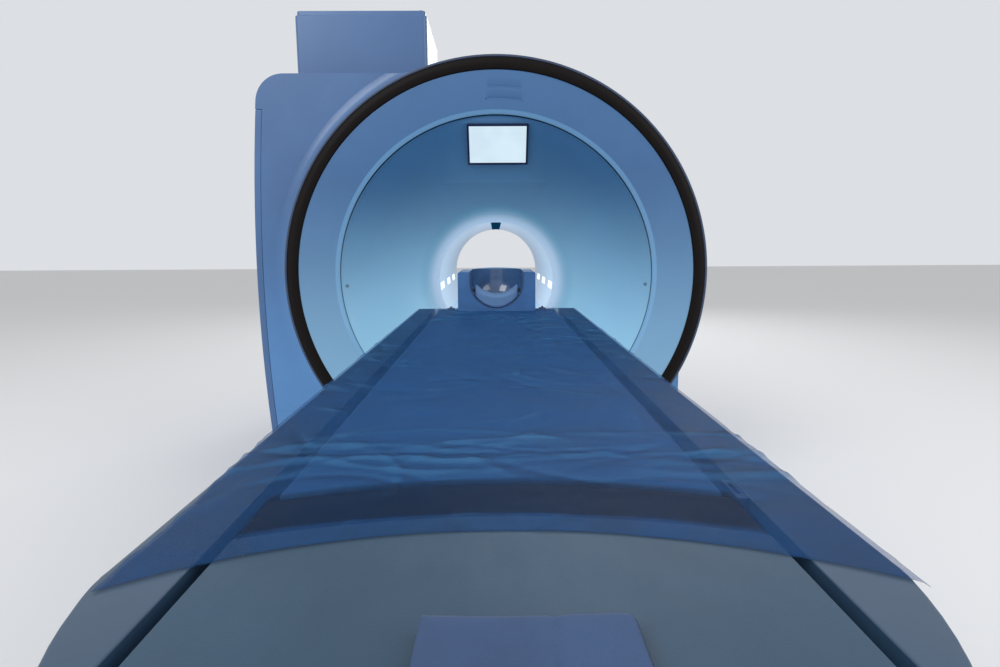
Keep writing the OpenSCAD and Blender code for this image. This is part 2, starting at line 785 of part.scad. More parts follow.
// Moulded underside: plan, cross section and side profile cut each other
module table_tub() color("WhiteSmoke") difference() {
    intersection() {
        translate([0, 0, tub_z]) linear_extrude(tub_top - tub_z) table_outline(6, table_head - 40);
        slab(-far * 2, 0) tub_section();
        side_slab(-far, far) tub_profile();
    }
    translate([-strip_in, -cap_front, board_z - 42]) cube([2 * strip_in, cap_front, 200]);
    translate([-190, -cap_front + 120, tub_z + 30]) cube([380, cap_front - table_head - 60, 200]);
}

module tub_section() {
    flank = 60;
    base = 232;
    intersection() {
        polygon([[-table_half, tub_top], [table_half, tub_top], [table_half, tub_top - flank], [base, tub_z],
                 [-base, tub_z], [-table_half, tub_top - flank]]);
        translate([0, tub_top - 60]) circle(table_half + 10, $fn = 180);
    }
}

module tub_profile() {
    heel = 520;
    translate([-table_foot, tub_z]) difference() {
        square([table_foot - table_head + 40, tub_depth]);
        translate([heel - 10, 0]) mirror([1, 0]) difference() {
            square([heel, 130]);
            translate([0, heel]) circle(heel, $fn = 180);
        }
    }
}

module side_strip() color("LightSteelBlue") {
    intersection() {
        translate([0, 0, tub_top + fit]) linear_extrude(strip_t - fit) difference() {
            table_outline(0, table_head);
            translate([-far, -far * 2]) square([far + strip_in, far * 3]);
        }
        slab(-far * 2, 0) polygon([[0, tub_top], [table_half, tub_top], [table_half, table_z - strip_edge],
                                   [table_half - strip_edge, table_z], [0, table_z]]);
    }
}

module side_strip_right() side_strip();

module side_strip_left() mirror([1, 0, 0]) side_strip();

// Two rails that carry the sliding board inside the tub
module guide_rails() color("Silver") for (s = [-1, 1])
    translate([s * 205 - 16, -cap_front + 60, board_z - 42 + 0]) cube([32, cap_front - 60 - table_head - 30, 42 - fit]);

// Fixed foot end between the strips, with a curved edge towards the mattress
module foot_cap() color("CadetBlue") {
    translate([0, 0, tub_top + fit]) linear_extrude(strip_t - fit) difference() {
        intersection() {
            table_outline(10, 0);
            translate([-slide_half, -far * 2]) square([2 * slide_half, far * 2]);
        }
        translate([-far, -cap_front + 80]) square([2 * far, far * 2]);
        foot_arc(cap_front);
    }
}

// Area on the head side of an arc across the table that bows towards the head
module foot_arc(at) {
    translate([-far, -at]) square([2 * far, far * 2]);
    difference() {
        translate([-far, -at - 60]) square([2 * far, 61]);
        translate([0, -at - foot_arc_r]) circle(foot_arc_r, $fn = 360);
    }
}

module foot_grip() color("#16243c") translate([0, 0, tub_top + fit]) linear_extrude(strip_t - 4) difference() {
    translate([-slide_half, -cap_front - 60]) square([2 * slide_half, grip_w + 60]);
    difference() {
        translate([-far, -cap_front - 90]) square([2 * far, 2 * grip_w + 90]);
        foot_arc(cap_front - fit);
    }
    foot_arc(mattress_foot + 3);
}

module travel_drive() color("DimGray") {
    z = tub_z + 30;
    translate([0, -cap_front + 260, z]) cylinder(r = 55, h = 60);
    translate([-60, -cap_front + 330, z]) cube([120, 180, 90]);
}

// Strap anchor that slides in the right-hand groove
module strap_anchor() color("#10141c") translate([0, -3240, 0]) difference() {
    slot_w = 5.5;
    translate([slide_half + 1.5, -26, tub_top]) cube([slide_gap - 2, 52, strip_t]);
    translate([slide_half + 1.5 + (slide_gap - 2 - slot_w) / 2, -14, tub_top - 1]) cube([slot_w, 28, strip_t + 2]);
}

// Sliding board with a tongue below the head coil
module sliding_board() color("AliceBlue") {
    slab(-mattress_foot - 1, -board_head) board_section();
    slab(-board_head, -tongue_head) intersection() {
        board_section();
        translate([-tongue_half, 0]) square([2 * tongue_half, far]);
    }
    for (s = [0, 1]) mirror([s, 0, 0]) slab(-table_head, -table_head + 7)
        translate([coil_w / 2 + 4, board_top]) square([slide_half - coil_w / 2 - 4, mattress_t - 3]);
}

module board_section() {
    polygon([[-slide_half, board_top], [slide_half, board_top], [slide_half, board_top - 10], [slide_half - 21, board_z],
             [-slide_half + 21, board_z], [-slide_half, board_top - 10]]);
}

module mattress() color("CadetBlue") difference() {
    translate([0, 0, board_top]) linear_extrude(mattress_t) difference() {
        translate([-slide_half, -mattress_foot - 60]) square([2 * slide_half, mattress_foot + 60 - table_head - 1]);
        difference() {
            translate([-far, -mattress_foot - 90]) square([2 * far, 200]);
            foot_arc(mattress_foot);
        }
        translate([-coil_w / 2 - 2, -coil_front - 2]) square([coil_w + 4, far]);
    }
}

// Hollow of the head coil, pulled in by d
module coil_hollow(d) {
    back = -coil_back - 30 - hollow_r;
    r = hollow_r - d;
    translate([0, 0, hollow_z]) {
        translate([0, back, 0]) sphere(r);
        rotate([90, 0, 0]) translate([0, 0, -back]) cylinder(r = r, h = coil_l);
        translate([0, back, 0]) cylinder(r = r, h = 400);
        translate([-r, -coil_front - 60, 0]) cube([2 * r, back + coil_front + 60, 400]);
    }
}

module head_coil_shell() color("SteelBlue") difference() {
    intersection() {
        translate([-coil_w / 2, -coil_front, board_top]) cube([coil_w, coil_l, coil_top - board_top]);
        slab(-coil_front, -coil_back) translate([0, board_top + (coil_top - board_top) / 2]) rounded(coil_w, coil_top - board_top, 9);
    }
    coil_hollow(0);
}

module head_coil_liner() color("#3c6ea8") difference() {
    intersection() {
        coil_hollow(fit);
        slab(-coil_front + 14, -coil_back) translate([-coil_w / 2, 0]) square([coil_w, coil_top + 6]);
    }
    coil_hollow(hollow_wall);
}

// Crescent neck pad lying in the front of the liner
module head_coil_pad() color("#5588b8") slab(-coil_front + 16, -coil_front + 110) intersection() {
    difference() {
        translate([0, hollow_z]) circle(hollow_r - hollow_wall - fit, $fn = 120);
        translate([0, hollow_z + 66]) circle(118, $fn = 120);
    }
    translate([-clip_x + fit, 0]) square([2 * (clip_x - fit), far]);
}

// Clips between the pad's ends and the liner's wall
module coil_pad_clips() color("#0c1018") for (s = [0, 1]) mirror([s, 0, 0])
    translate([clip_x, -coil_front + 18, hollow_z - 40]) cube([9.5, 22, 14]);

// Quarter-turn knob that locks the head coil on the board
module coil_knob(s) translate([s * 203, -board_head - 33, board_top + fit]) {
    cylinder(r = 17, h = 34);
    translate([0, 0, 34]) cylinder(r1 = 17, r2 = 13, h = 6);
    translate([-4, -15, 34]) cube([8, 30, 12]);
}

module coil_knob_left() color("#202a38") coil_knob(-1);

module coil_knob_right() color("#202a38") coil_knob(1);

module drape_sheet() color("RoyalBlue") translate([0, 0, table_z + fit]) linear_extrude(sheet_t) difference() {
    translate([-table_half - 4, -sheet_foot - 120]) square([2 * table_half + 8, sheet_foot + 120 - table_head]);
    difference() {
        translate([-far, -sheet_foot - 150]) square([2 * far, 300]);
        translate([-far, -sheet_foot]) square([2 * far, far]);
        difference() {
            translate([-far, -sheet_foot - 150]) square([2 * far, 151]);
            translate([0, -sheet_foot - sheet_arc_r]) circle(sheet_arc_r, $fn = 360);
        }
    }
    translate([-coil_w / 2 - 3, -coil_front - 2]) square([coil_w + 6, far]);
}

module folded_cloth() color("LightSlateGray")
    translate([18, -table_foot + 30 + cloth_l / 2, table_z + fit]) linear_extrude(cloth_t) rounded(cloth_w, cloth_l, 8);

magnet_vessel();
magnet_feet();
service_turret();
gradient_coil();
transmit_coil();
bore_liner();
bore_floor();
bridge();
side_lights();
crown_strip();
mouth_light_ring();
funnel();
face_ring();
vent_backing();
dark_trim_ring();
drum_shell();
cover_frame();
front_cover();
front_kick_panel();
left_side_cover();
right_side_cover();
top_cover();
rear_cover();
rear_flare();
duct_cover();
display_bezel();
display_screen();
cover_fixings();
table_base();
outer_shroud();
lift_cylinder();
middle_shroud();
lift_stage();
inner_shroud();
lift_rod();
table_tub();
side_strip_left();
side_strip_right();
guide_rails();
foot_cap();
foot_grip();
travel_drive();
strap_anchor();
sliding_board();
mattress();
head_coil_shell();
head_coil_liner();
head_coil_pad();
coil_pad_clips();
coil_knob_left();
coil_knob_right();
drape_sheet();
folded_cloth();
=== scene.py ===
"""Looks of a closed-bore MRI scanner with its patient table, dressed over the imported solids.

Everything is in metres in the solids' own frame: X to the right seen from the table's foot, Y into
the tunnel, Z up, with the origin on the floor below the magnet's isocentre.
"""

from __future__ import annotations

import json
import logging
import math
from dataclasses import dataclass
from enum import Enum
from typing import Callable, ClassVar, Sequence

import bmesh
import bpy
import numpy as np
from mathutils import Matrix, Vector

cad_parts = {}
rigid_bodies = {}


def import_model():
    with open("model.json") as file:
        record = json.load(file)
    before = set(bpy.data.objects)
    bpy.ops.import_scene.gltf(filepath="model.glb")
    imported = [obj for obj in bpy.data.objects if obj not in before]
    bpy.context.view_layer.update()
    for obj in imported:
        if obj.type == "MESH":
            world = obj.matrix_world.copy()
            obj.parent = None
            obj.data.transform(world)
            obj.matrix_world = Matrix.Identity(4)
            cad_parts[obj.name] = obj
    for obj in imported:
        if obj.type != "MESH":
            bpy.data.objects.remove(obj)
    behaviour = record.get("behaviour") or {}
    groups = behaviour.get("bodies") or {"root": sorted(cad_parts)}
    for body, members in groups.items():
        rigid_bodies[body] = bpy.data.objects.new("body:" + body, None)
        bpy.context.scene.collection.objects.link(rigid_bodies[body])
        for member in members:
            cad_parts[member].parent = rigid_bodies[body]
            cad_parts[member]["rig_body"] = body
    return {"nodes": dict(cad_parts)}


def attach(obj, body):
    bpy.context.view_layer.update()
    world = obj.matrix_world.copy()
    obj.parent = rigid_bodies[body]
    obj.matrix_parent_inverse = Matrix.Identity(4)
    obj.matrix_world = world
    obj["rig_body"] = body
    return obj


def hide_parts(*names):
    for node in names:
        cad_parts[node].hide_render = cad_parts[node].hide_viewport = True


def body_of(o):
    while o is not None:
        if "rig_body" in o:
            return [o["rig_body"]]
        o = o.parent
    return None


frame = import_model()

log = logging.getLogger("scanner")
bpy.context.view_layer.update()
Array = np.ndarray


# Sizes that several pieces share


@dataclass(frozen=True)
class Plan:
    """Main sizes of the scanner, the same as in its solids, in metres."""

    axis_z: float = 1.050
    ring_z: float = 1.088
    ring_y: float = -1.135
    lip_y: float = -1.105
    mouth_y: float = -0.715
    bore_r: float = 0.300
    funnel_r: float = 0.715
    groove_r: float = 0.720
    face_r: float = 0.902
    trim_r: float = 0.955
    drum_r: float = 0.966
    flare_r: float = 0.135
    flare_turn: float = math.radians(52)
    front_y: float = -1.015
    brow_top_up: float = 0.722
    brow_top_y: float = -1.099
    crease_up: float = 0.480
    crease_y: float = -0.951
    brow_end_up: float = 0.352
    brow_end_y: float = -0.823
    table_z: float = 0.956
    table_half: float = 0.344
    slide_half: float = 0.2565
    strip_in: float = 0.2705
    table_head: float = -1.257
    mattress_foot: float = -3.208
    cap_front: float = -3.304
    foot_arc_r: float = 0.750
    sheet_foot: float = -3.339
    sheet_arc_r: float = 0.650
    board_top: float = 0.916
    tub_top: float = 0.930


PLAN = Plan()
# Room under the strap anchor, so that it slides along its groove without touching
ANCHOR_CLEAR = 0.0004
# Corners of a solid that lie closer than this are one corner
MERGE = 2e-5


# Shader maths


def operator(operation: str, swapped: bool = False) -> Callable[..., "Term"]:
    """Makes a method that adds one Math node.

    Args:
        operation: The node's operation.
        swapped: Whether the term comes last, as in a reflected operator.

    Returns:
        The method, which takes the other inputs and returns the result as a term.
    """
    def method(term: "Term", *others: "Term | float") -> "Term":
        """Adds the node."""
        values = (*others, term) if swapped else (term, *others)
        return term.shader.node("ShaderNodeMath", {"operation": operation}, dict(enumerate(values)))

    return method


class Term:
    """A shader socket that takes part in Python arithmetic by adding Math nodes."""

    def __init__(self, shader: "Shader", socket: bpy.types.NodeSocket) -> None:
        """Wraps a node's output socket."""
        self.shader = shader
        self.socket = socket

    __add__ = __radd__ = operator("ADD")
    __mul__ = __rmul__ = operator("MULTIPLY")
    __sub__, __rsub__ = operator("SUBTRACT"), operator("SUBTRACT", swapped=True)
    __truediv__ = operator("DIVIDE")
    sqrt, sin, abs = operator("SQRT"), operator("SINE"), operator("ABSOLUTE")
    min = operator("MINIMUM")

    def clamp(self) -> "Term":
        """The value held between 0 and 1."""
        return self.shader.node("ShaderNodeMath", {"operation": "ADD", "use_clamp": True}, {0: self, 1: 0.0})

    def ramp(self, low: float, high: float) -> "Term":
        """Smooth step from 0 at low to 1 at high, which may be the smaller."""
        t = ((self - low) / (high - low)).clamp()
        return t * t * (3.0 - 2.0 * t)


class Shader:
    """A material being built: its nodes and its Principled surface."""

    def __init__(self, name: str) -> None:
        """Makes an empty material with one Principled node."""
        self.material = bpy.data.materials.new(name)
        self.material.use_nodes = True
        self.tree = self.material.node_tree
        self.surface = self.tree.nodes["Principled BSDF"]

    def node(self, kind: str, settings: dict, inputs: dict, output: int | str = 0) -> Term:
        """Adds any node.

        Args:
            kind: The node's type.
            settings: Its properties.
            inputs: Socket index or name to a term, number, colour or vector.
            output: The output that is returned.

        Returns:
            That output as a term.
        """
        made = self.tree.nodes.new(kind)
        for key, value in settings.items():
            setattr(made, key, value)
        for key, value in inputs.items():
            if isinstance(value, Term):
                self.tree.links.new(value.socket, made.inputs[key])
            else:
                made.inputs[key].default_value = value
        return Term(self, made.outputs[output])

    def place(self) -> Term:
        """The point in the piece's own coordinates."""
        return self.node("ShaderNodeTexCoord", {}, {}, "Object")

    def axes(self) -> tuple[Term, Term, Term]:
        """The point's X, Y and Z."""
        split = self.node("ShaderNodeSeparateXYZ", {}, {0: self.place()})
        outputs = split.socket.node.outputs
        return tuple(Term(self, outputs[i]) for i in range(3))

    def scaled(self, scale: tuple[float, float, float]) -> Term:
        """The point, stretched along the axes for directional patterns."""
        return self.node("ShaderNodeMapping", {}, {"Vector": self.place(), "Scale": scale})

    def noise(self, scale: float, detail: float = 3.0, rough: float = 0.5,
              at: Term | None = None) -> Term:
        """Cloudy noise between about 0.25 and 0.75.

        Args:
            scale: Cells per metre.
            detail: Octaves.
            rough: Strength of the finer octaves.
            at: Point to read it at, or the piece's own.

        Returns:
            The noise value.
        """
        inputs = {"Vector": at or self.place(), "Scale": scale, "Detail": detail, "Roughness": rough}
        return self.node("ShaderNodeTexNoise", {}, inputs, "Fac")

    def cells(self, scale: float) -> Term:
        """Voronoi distance, for grain and pressed dots."""
        return self.node("ShaderNodeTexVoronoi", {}, {"Vector": self.place(), "Scale": scale}, "Distance")

    def attribute(self, name: str) -> Term:
        """A value that the piece's mesh carries at its points."""
        return self.node("ShaderNodeAttribute", {"attribute_name": name}, {}, "Fac")

    def mix(self, factor: Term | float, *colours: Sequence[float] | Term) -> Term:
        """Colour between two colours; a plain one gets its fourth channel."""
        first, second = (c if isinstance(c, Term) else (*c, 1.0) for c in colours)
        return self.node("ShaderNodeMix", {"data_type": "RGBA"}, {0: factor, 6: first, 7: second}, 2)

    def bump(self, *layers: tuple[Term, float]) -> None:
        """Chains bump layers into the surface's normal.

        Args:
            layers: (height term, depth in metres) pairs.
        """
        below: dict = {}
        for height, depth in layers:
            inputs = {"Height": height, "Distance": depth, "Strength": 1.0, **below}
            below = {"Normal": self.node("ShaderNodeBump", {}, inputs)}
        self.set(**below)

    def set(self, **sockets: "Term | float | tuple") -> None:
        """Sets or links the surface's sockets, with _ for a space in their names."""
        for key, value in sockets.items():
            socket = self.surface.inputs[key.replace("_", " ")]
            if isinstance(value, Term):
                self.tree.links.new(value.socket, socket)
            else:
                socket.default_value = (*value, 1.0) if isinstance(value, tuple) else value


def shade(colour: Sequence[float], by: float) -> tuple[float, float, float]:
    """A colour made darker or lighter by a factor, held below 1."""
    return tuple(min(1.0, c * by) for c in colour)


# Finishes


@dataclass(frozen=True)
class Finish:
    """Common part of every finish: a name, a colour, and its slot in the record, which nothing in this script
    reads.

    The slot has the finish's name, unless several finishes share one slot.
    """

    name: str
    colour: tuple[float, float, float]
    slot: str = ""

    def material(self) -> bpy.types.Material:
        """Builds the material once and returns it."""
        name = "finish_" + self.name
        if name not in bpy.data.materials:
            self.dress(Shader(name))
        return bpy.data.materials[name]

    def mottled(self, pattern: Term, dark: float, pale: float, low: float = 0.3, high: float = 0.7) -> Term:
        """The finish's colour, darker and paler along a pattern.

        Args:
            pattern: The pattern's value.
            dark: Factor on the colour where the pattern is at most low.
            pale: Factor on the colour where the pattern is at least high.
            low: See dark.
            high: See pale.

        Returns:
            The colour.
        """
        return pattern.shader.mix(pattern.ramp(low, high), shade(self.colour, dark), shade(self.colour, pale))

    def dress(self, shader: Shader) -> None:
        """Wires the finish; each kind has its own."""
        raise NotImplementedError


@dataclass(frozen=True)
class MouldedCover(Finish):
    """Satin gelcoat: faint mottling, fine orange peel, a little dust near the floor, and painted tunnel light
    where it has some.
    """

    roughness: float = 0.36
    # Strength of painted tunnel light given as emission, 0 for none, and of a painted highlight on the face
    # ring's chamfered inner edge
    painted_light: float = 0.0
    rim: float = 0.0
    dust: float = 0.10
    # Colour of the painted tunnel light
    light: tuple[float, float, float] = (0.45, 0.82, 1.0)

    def dress(self, shader: Shader) -> None:
        """Wires the gelcoat, with painted tunnel light where it has some: emission and paler painted
        highlights.
        """
        x, _, z = shader.axes()
        cloud = shader.noise(2.2, 4.0, 0.55)
        speck = shader.noise(38.0, 5.0, 0.6)
        base = self.mottled(cloud, 0.93, 1.05, 0.35, 0.68)
        base = shader.mix(speck.ramp(0.60, 0.78) * 0.16, base, shade(self.colour, 0.80))
        low = z.ramp(0.42, 0.02) * shader.noise(7.0, 4.0, 0.6).ramp(0.35, 0.7) * self.dust * 4.0
        base = shader.mix(low, base, shade(self.colour, 0.62))
        # Painted tunnel light: the cover is no lamp, and its emission stands for light falling on it
        if self.painted_light > 0:
            dz = z - PLAN.axis_z
            radius = (x * x + dz * dz).sqrt()
            # Painted highlight round the tunnel's mouth: paler colour, and emission fringed with cyan
            near = radius.ramp(0.400, 0.306)
            painted_halo = near * near
            # Painted light, brighter towards the bottom and towards the mouth
            spread = z.ramp(1.60, 0.55) * 0.62 + radius.ramp(0.75, 0.30) * 0.10
            base = shader.mix(painted_halo, base, (0.34, 0.43, 0.54))
            light = shader.mix(spread, (0.0, 0.0, 0.0), self.light)
            painted_fringe = shader.mix(painted_halo, (0.02, 0.16, 0.22), (0.24, 0.32, 0.41))
            light = shader.mix(painted_halo.sqrt(), light, painted_fringe)
            # Painted highlight on the face ring's chamfered inner edge
            up = z - PLAN.ring_z
            edge = (x * x + up * up).sqrt().ramp(PLAN.groove_r + 0.0200, PLAN.groove_r + 0.0140) * self.rim
            light = shader.mix(edge, light, (0.30, 0.58, 0.82))
            shader.set(Emission_Color=light, Emission_Strength=self.painted_light)
        shader.set(Base_Color=base, Roughness=self.roughness + speck * 0.14 - 0.06)
        shader.set(Coat_Weight=0.25, Coat_Roughness=0.18)
        shader.bump((shader.noise(620.0, 2.0), 0.00010), (cloud, 0.0012))


@dataclass(frozen=True)
class PaintedMetal(Finish):
    """Powder paint: leathery fine grain with worn, slightly brighter spots."""

    roughness: float = 0.45
    grain: float = 420.0

    def dress(self, shader: Shader) -> None:
        """Wires the powder paint."""
        _, _, z = shader.axes()
        grain = shader.cells(self.grain)
        cloud = shader.noise(6.0, 5.0, 0.6)
        base = self.mottled(cloud, 0.88, 1.08)
        # Darker within 10 cm of the floor
        base = shader.mix(z.ramp(0.10, 0.0) * 0.4, base, shade(self.colour, 0.6))
        shader.set(Base_Color=base, Roughness=self.roughness + cloud * 0.16 - 0.08)
        shader.bump((grain, 0.00018), (cloud, 0.0006))


@dataclass(frozen=True)
class BareMetal(Finish):
    """Turned, rolled or drawn metal with fine lines along one axis."""

    roughness: float = 0.28
    lines: tuple[float, float, float] = (8.0, 900.0, 900.0)

    def dress(self, shader: Shader) -> None:
        """Wires the metal."""
        streak = shader.noise(1.0, 4.0, 0.6, shader.scaled(self.lines))
        stain = shader.noise(5.0, 5.0, 0.6)
        base = self.mottled(streak, 0.86, 1.06)
        base = shader.mix(stain.ramp(0.55, 0.75) * 0.35, base, shade(self.colour, 0.66))
        rough = self.roughness + streak * 0.16 + stain * 0.10 - 0.10
        shader.set(Base_Color=base, Metallic=1.0, Roughness=rough)
        shader.bump((streak, 0.00006))


@dataclass(frozen=True)
class MouldedPlastic(Finish):
    """Small moulded plastic parts: eroded texture, faint flow marks and handling gloss."""

    roughness: float = 0.42
    grain: float = 900.0
    depth: float = 0.00008
    coat: float = 0.0
    shine: float = 0.5

    def dress(self, shader: Shader) -> None:
        """Wires the plastic."""
        grain = shader.noise(self.grain, 2.0, 0.6)
        cloud = shader.noise(14.0, 4.0, 0.6)
        base = self.mottled(cloud, 0.86, 1.12)
        shader.set(Base_Color=base, Roughness=self.roughness + cloud * 0.2 - 0.1, Coat_Weight=self.coat)
        shader.set(Specular_IOR_Level=self.shine)
        shader.bump((grain, self.depth))


@dataclass(frozen=True)
class LitPane(Finish):
    """Frosted pane with light from behind, a little uneven with a faint haze."""

    strength: float = 1.0
    tint: tuple[float, float, float] = (0.93, 0.97, 1.0)

    def dress(self, shader: Shader) -> None:
        """Wires the lit pane."""
        haze = shader.noise(60.0, 3.0)
        light = shader.mix(haze.ramp(0.3, 0.7), shade(self.tint, 0.92), self.tint)
        shader.set(Base_Color=self.colour, Emission_Color=light, Emission_Strength=self.strength)
        shader.set(Roughness=0.35)
        shader.bump((shader.noise(800.0), 0.00004))


@dataclass(frozen=True)
class LinerPaintedLight(Finish):
    """Tunnel liner: smooth white laminate with painted light given as emission, brighter beside its light
    panes.
    """

    strength: float = 0.50

    def dress(self, shader: Shader) -> None:
        """Wires the liner with painted light along both side walls and at its mouth, and painted shade at its
        joint with the funnel.
        """
        _, y, z = shader.axes()
        # Painted light, brighter along the side walls by the panes and towards the mouth
        side = (z - (PLAN.axis_z - 0.036)).abs().ramp(0.42, 0.0)
        mouth = y.ramp(0.9, -0.70)
        cloud = shader.noise(3.0, 3.0)
        base = self.mottled(cloud, 0.94, 1.0)
        # Painted shade at the joint with the funnel's mouth: darker colour and weaker emission
        base = shader.mix(y.ramp(-0.7040, -0.7075), base, shade(self.colour, 0.45))
        painted_light = (side * 0.35 + 0.40) * (0.30 + 0.70 * mouth) * (0.25 + 0.75 * y.ramp(-0.7075, -0.7040))
        light = shader.mix(painted_light, (0.0, 0.0, 0.0), (0.58, 0.82, 1.0))
        shader.set(Base_Color=base, Emission_Color=light, Emission_Strength=self.strength)
        shader.set(Roughness=0.32 + cloud * 0.12, Coat_Weight=0.2)
        shader.bump((shader.noise(500.0), 0.00006))


@dataclass(frozen=True)
class ScreenFinish(Finish):
    """Lit display with an even pale picture."""

    strength: float = 1.0

    def dress(self, shader: Shader) -> None:
        """Wires the screen."""
        haze = shader.noise(9.0, 2.0)
        light = shader.mix(haze.ramp(0.35, 0.65), (0.60, 0.74, 0.82), (0.66, 0.80, 0.88))
        shader.set(Base_Color=self.colour, Emission_Color=light, Emission_Strength=self.strength)
        shader.set(Roughness=0.12, Coat_Weight=1.0, Coat_Roughness=0.04)
        shader.bump((shader.noise(1400.0), 0.00001))


@dataclass(frozen=True)
class CoatedFabric(Finish):
    """Wipe-clean coated fabric: fine grain, soft sheen and stretch lines."""

    roughness: float = 0.50
    grain: float = 700.0

    def dress(self, shader: Shader) -> None:
        """Wires the coated fabric."""
        grain = shader.cells(self.grain)
        soft = shader.noise(5.0, 5.0, 0.55)
        crease = shader.noise(26.0, 4.0, 0.6, shader.scaled((1.0, 0.35, 1.0)))
        base = self.mottled(soft, 0.90, 1.08)
        base = shader.mix(crease.ramp(0.60, 0.75) * 0.18, base, shade(self.colour, 0.78))
        shader.set(Base_Color=base, Roughness=self.roughness + crease * 0.18 - 0.09)
        shader.set(Sheen_Weight=0.08, Sheen_Roughness=0.4, Specular_IOR_Level=0.35)
        shader.bump((grain, 0.00012), (crease, 0.0006))


@dataclass(frozen=True)
class Nonwoven(Finish):
    """Thin bonded sheet: random fibres, pressed dots, and slight translucence."""

    alpha: float = 0.78
    # Colour of the painted highlight on crests and on slopes facing the light
    crest: tuple[float, float, float] = (0.045, 0.180, 0.400)

    def dress(self, shader: Shader) -> None:
        """Wires the bonded sheet, with painted highlights on its creases and on slopes facing the light,
        painted shade on the other slopes, and painted shade where it spans the recess at the table's foot.
        """
        fibre = shader.noise(900.0, 3.0, 0.7)
        dots = shader.cells(620.0)
        crinkle = shader.noise(11.0, 6.0, 0.62)
        fine = shader.noise(60.0, 5.0, 0.65)
        base = self.mottled(crinkle, 0.82, 1.18, 0.32)
        base = shader.mix(fine.ramp(0.55, 0.75) * 0.12, base, shade(self.colour, 1.35))
        # Painted highlight in the crest colour on the creases' crests and on slopes facing the light
        crest = shader.attribute("crease").clamp()
        painted_slope_shading = shader.attribute("slope")
        base = shader.mix((crest * 0.5 + painted_slope_shading.clamp() * 0.6).clamp(), base, self.crest)
        # Painted shade on slopes facing away from the light
        base = shader.mix((painted_slope_shading * -0.8).clamp(), base, shade(self.colour, 0.40))
        # Painted shade where the sheet spans the recess at the table's foot
        base = shader.mix(shader.attribute("span").clamp() * 0.85, base, shade(self.colour, 0.25))
        opacity = self.alpha + crinkle * 0.20 - 0.10 + crest * 0.12 + painted_slope_shading.abs().min(1.0) * 0.10
        shader.set(Base_Color=base, Roughness=0.46 + fine * 0.20, Alpha=opacity.clamp())
        shader.set(Specular_IOR_Level=0.16)
        shader.bump((fibre, 0.00006), (dots, 0.00003), (fine, 0.0008), (crinkle, 0.0050))


@dataclass(frozen=True)
class Woven(Finish):
    """Plain-woven cotton with soft uneven tone."""

    thread: float = 900.0

    def dress(self, shader: Shader) -> None:
        """Wires the weave: warp and weft as crossed sine waves."""
        x, y, z = shader.axes()
        rate = self.thread * math.pi
        warp = ((x + z) * rate).sin()
        weft = ((y + z) * rate).sin()
        weave = warp * weft * 0.5 + 0.5
        soft = shader.noise(9.0, 5.0, 0.6)
        base = self.mottled(soft, 0.88, 1.10)
        base = shader.mix(weave * 0.22, base, shade(self.colour, 0.74))
        shader.set(Base_Color=base, Roughness=0.86, Sheen_Weight=0.08, Specular_IOR_Level=0.2)
        shader.bump((weave, 0.00022), (soft, 0.0014))


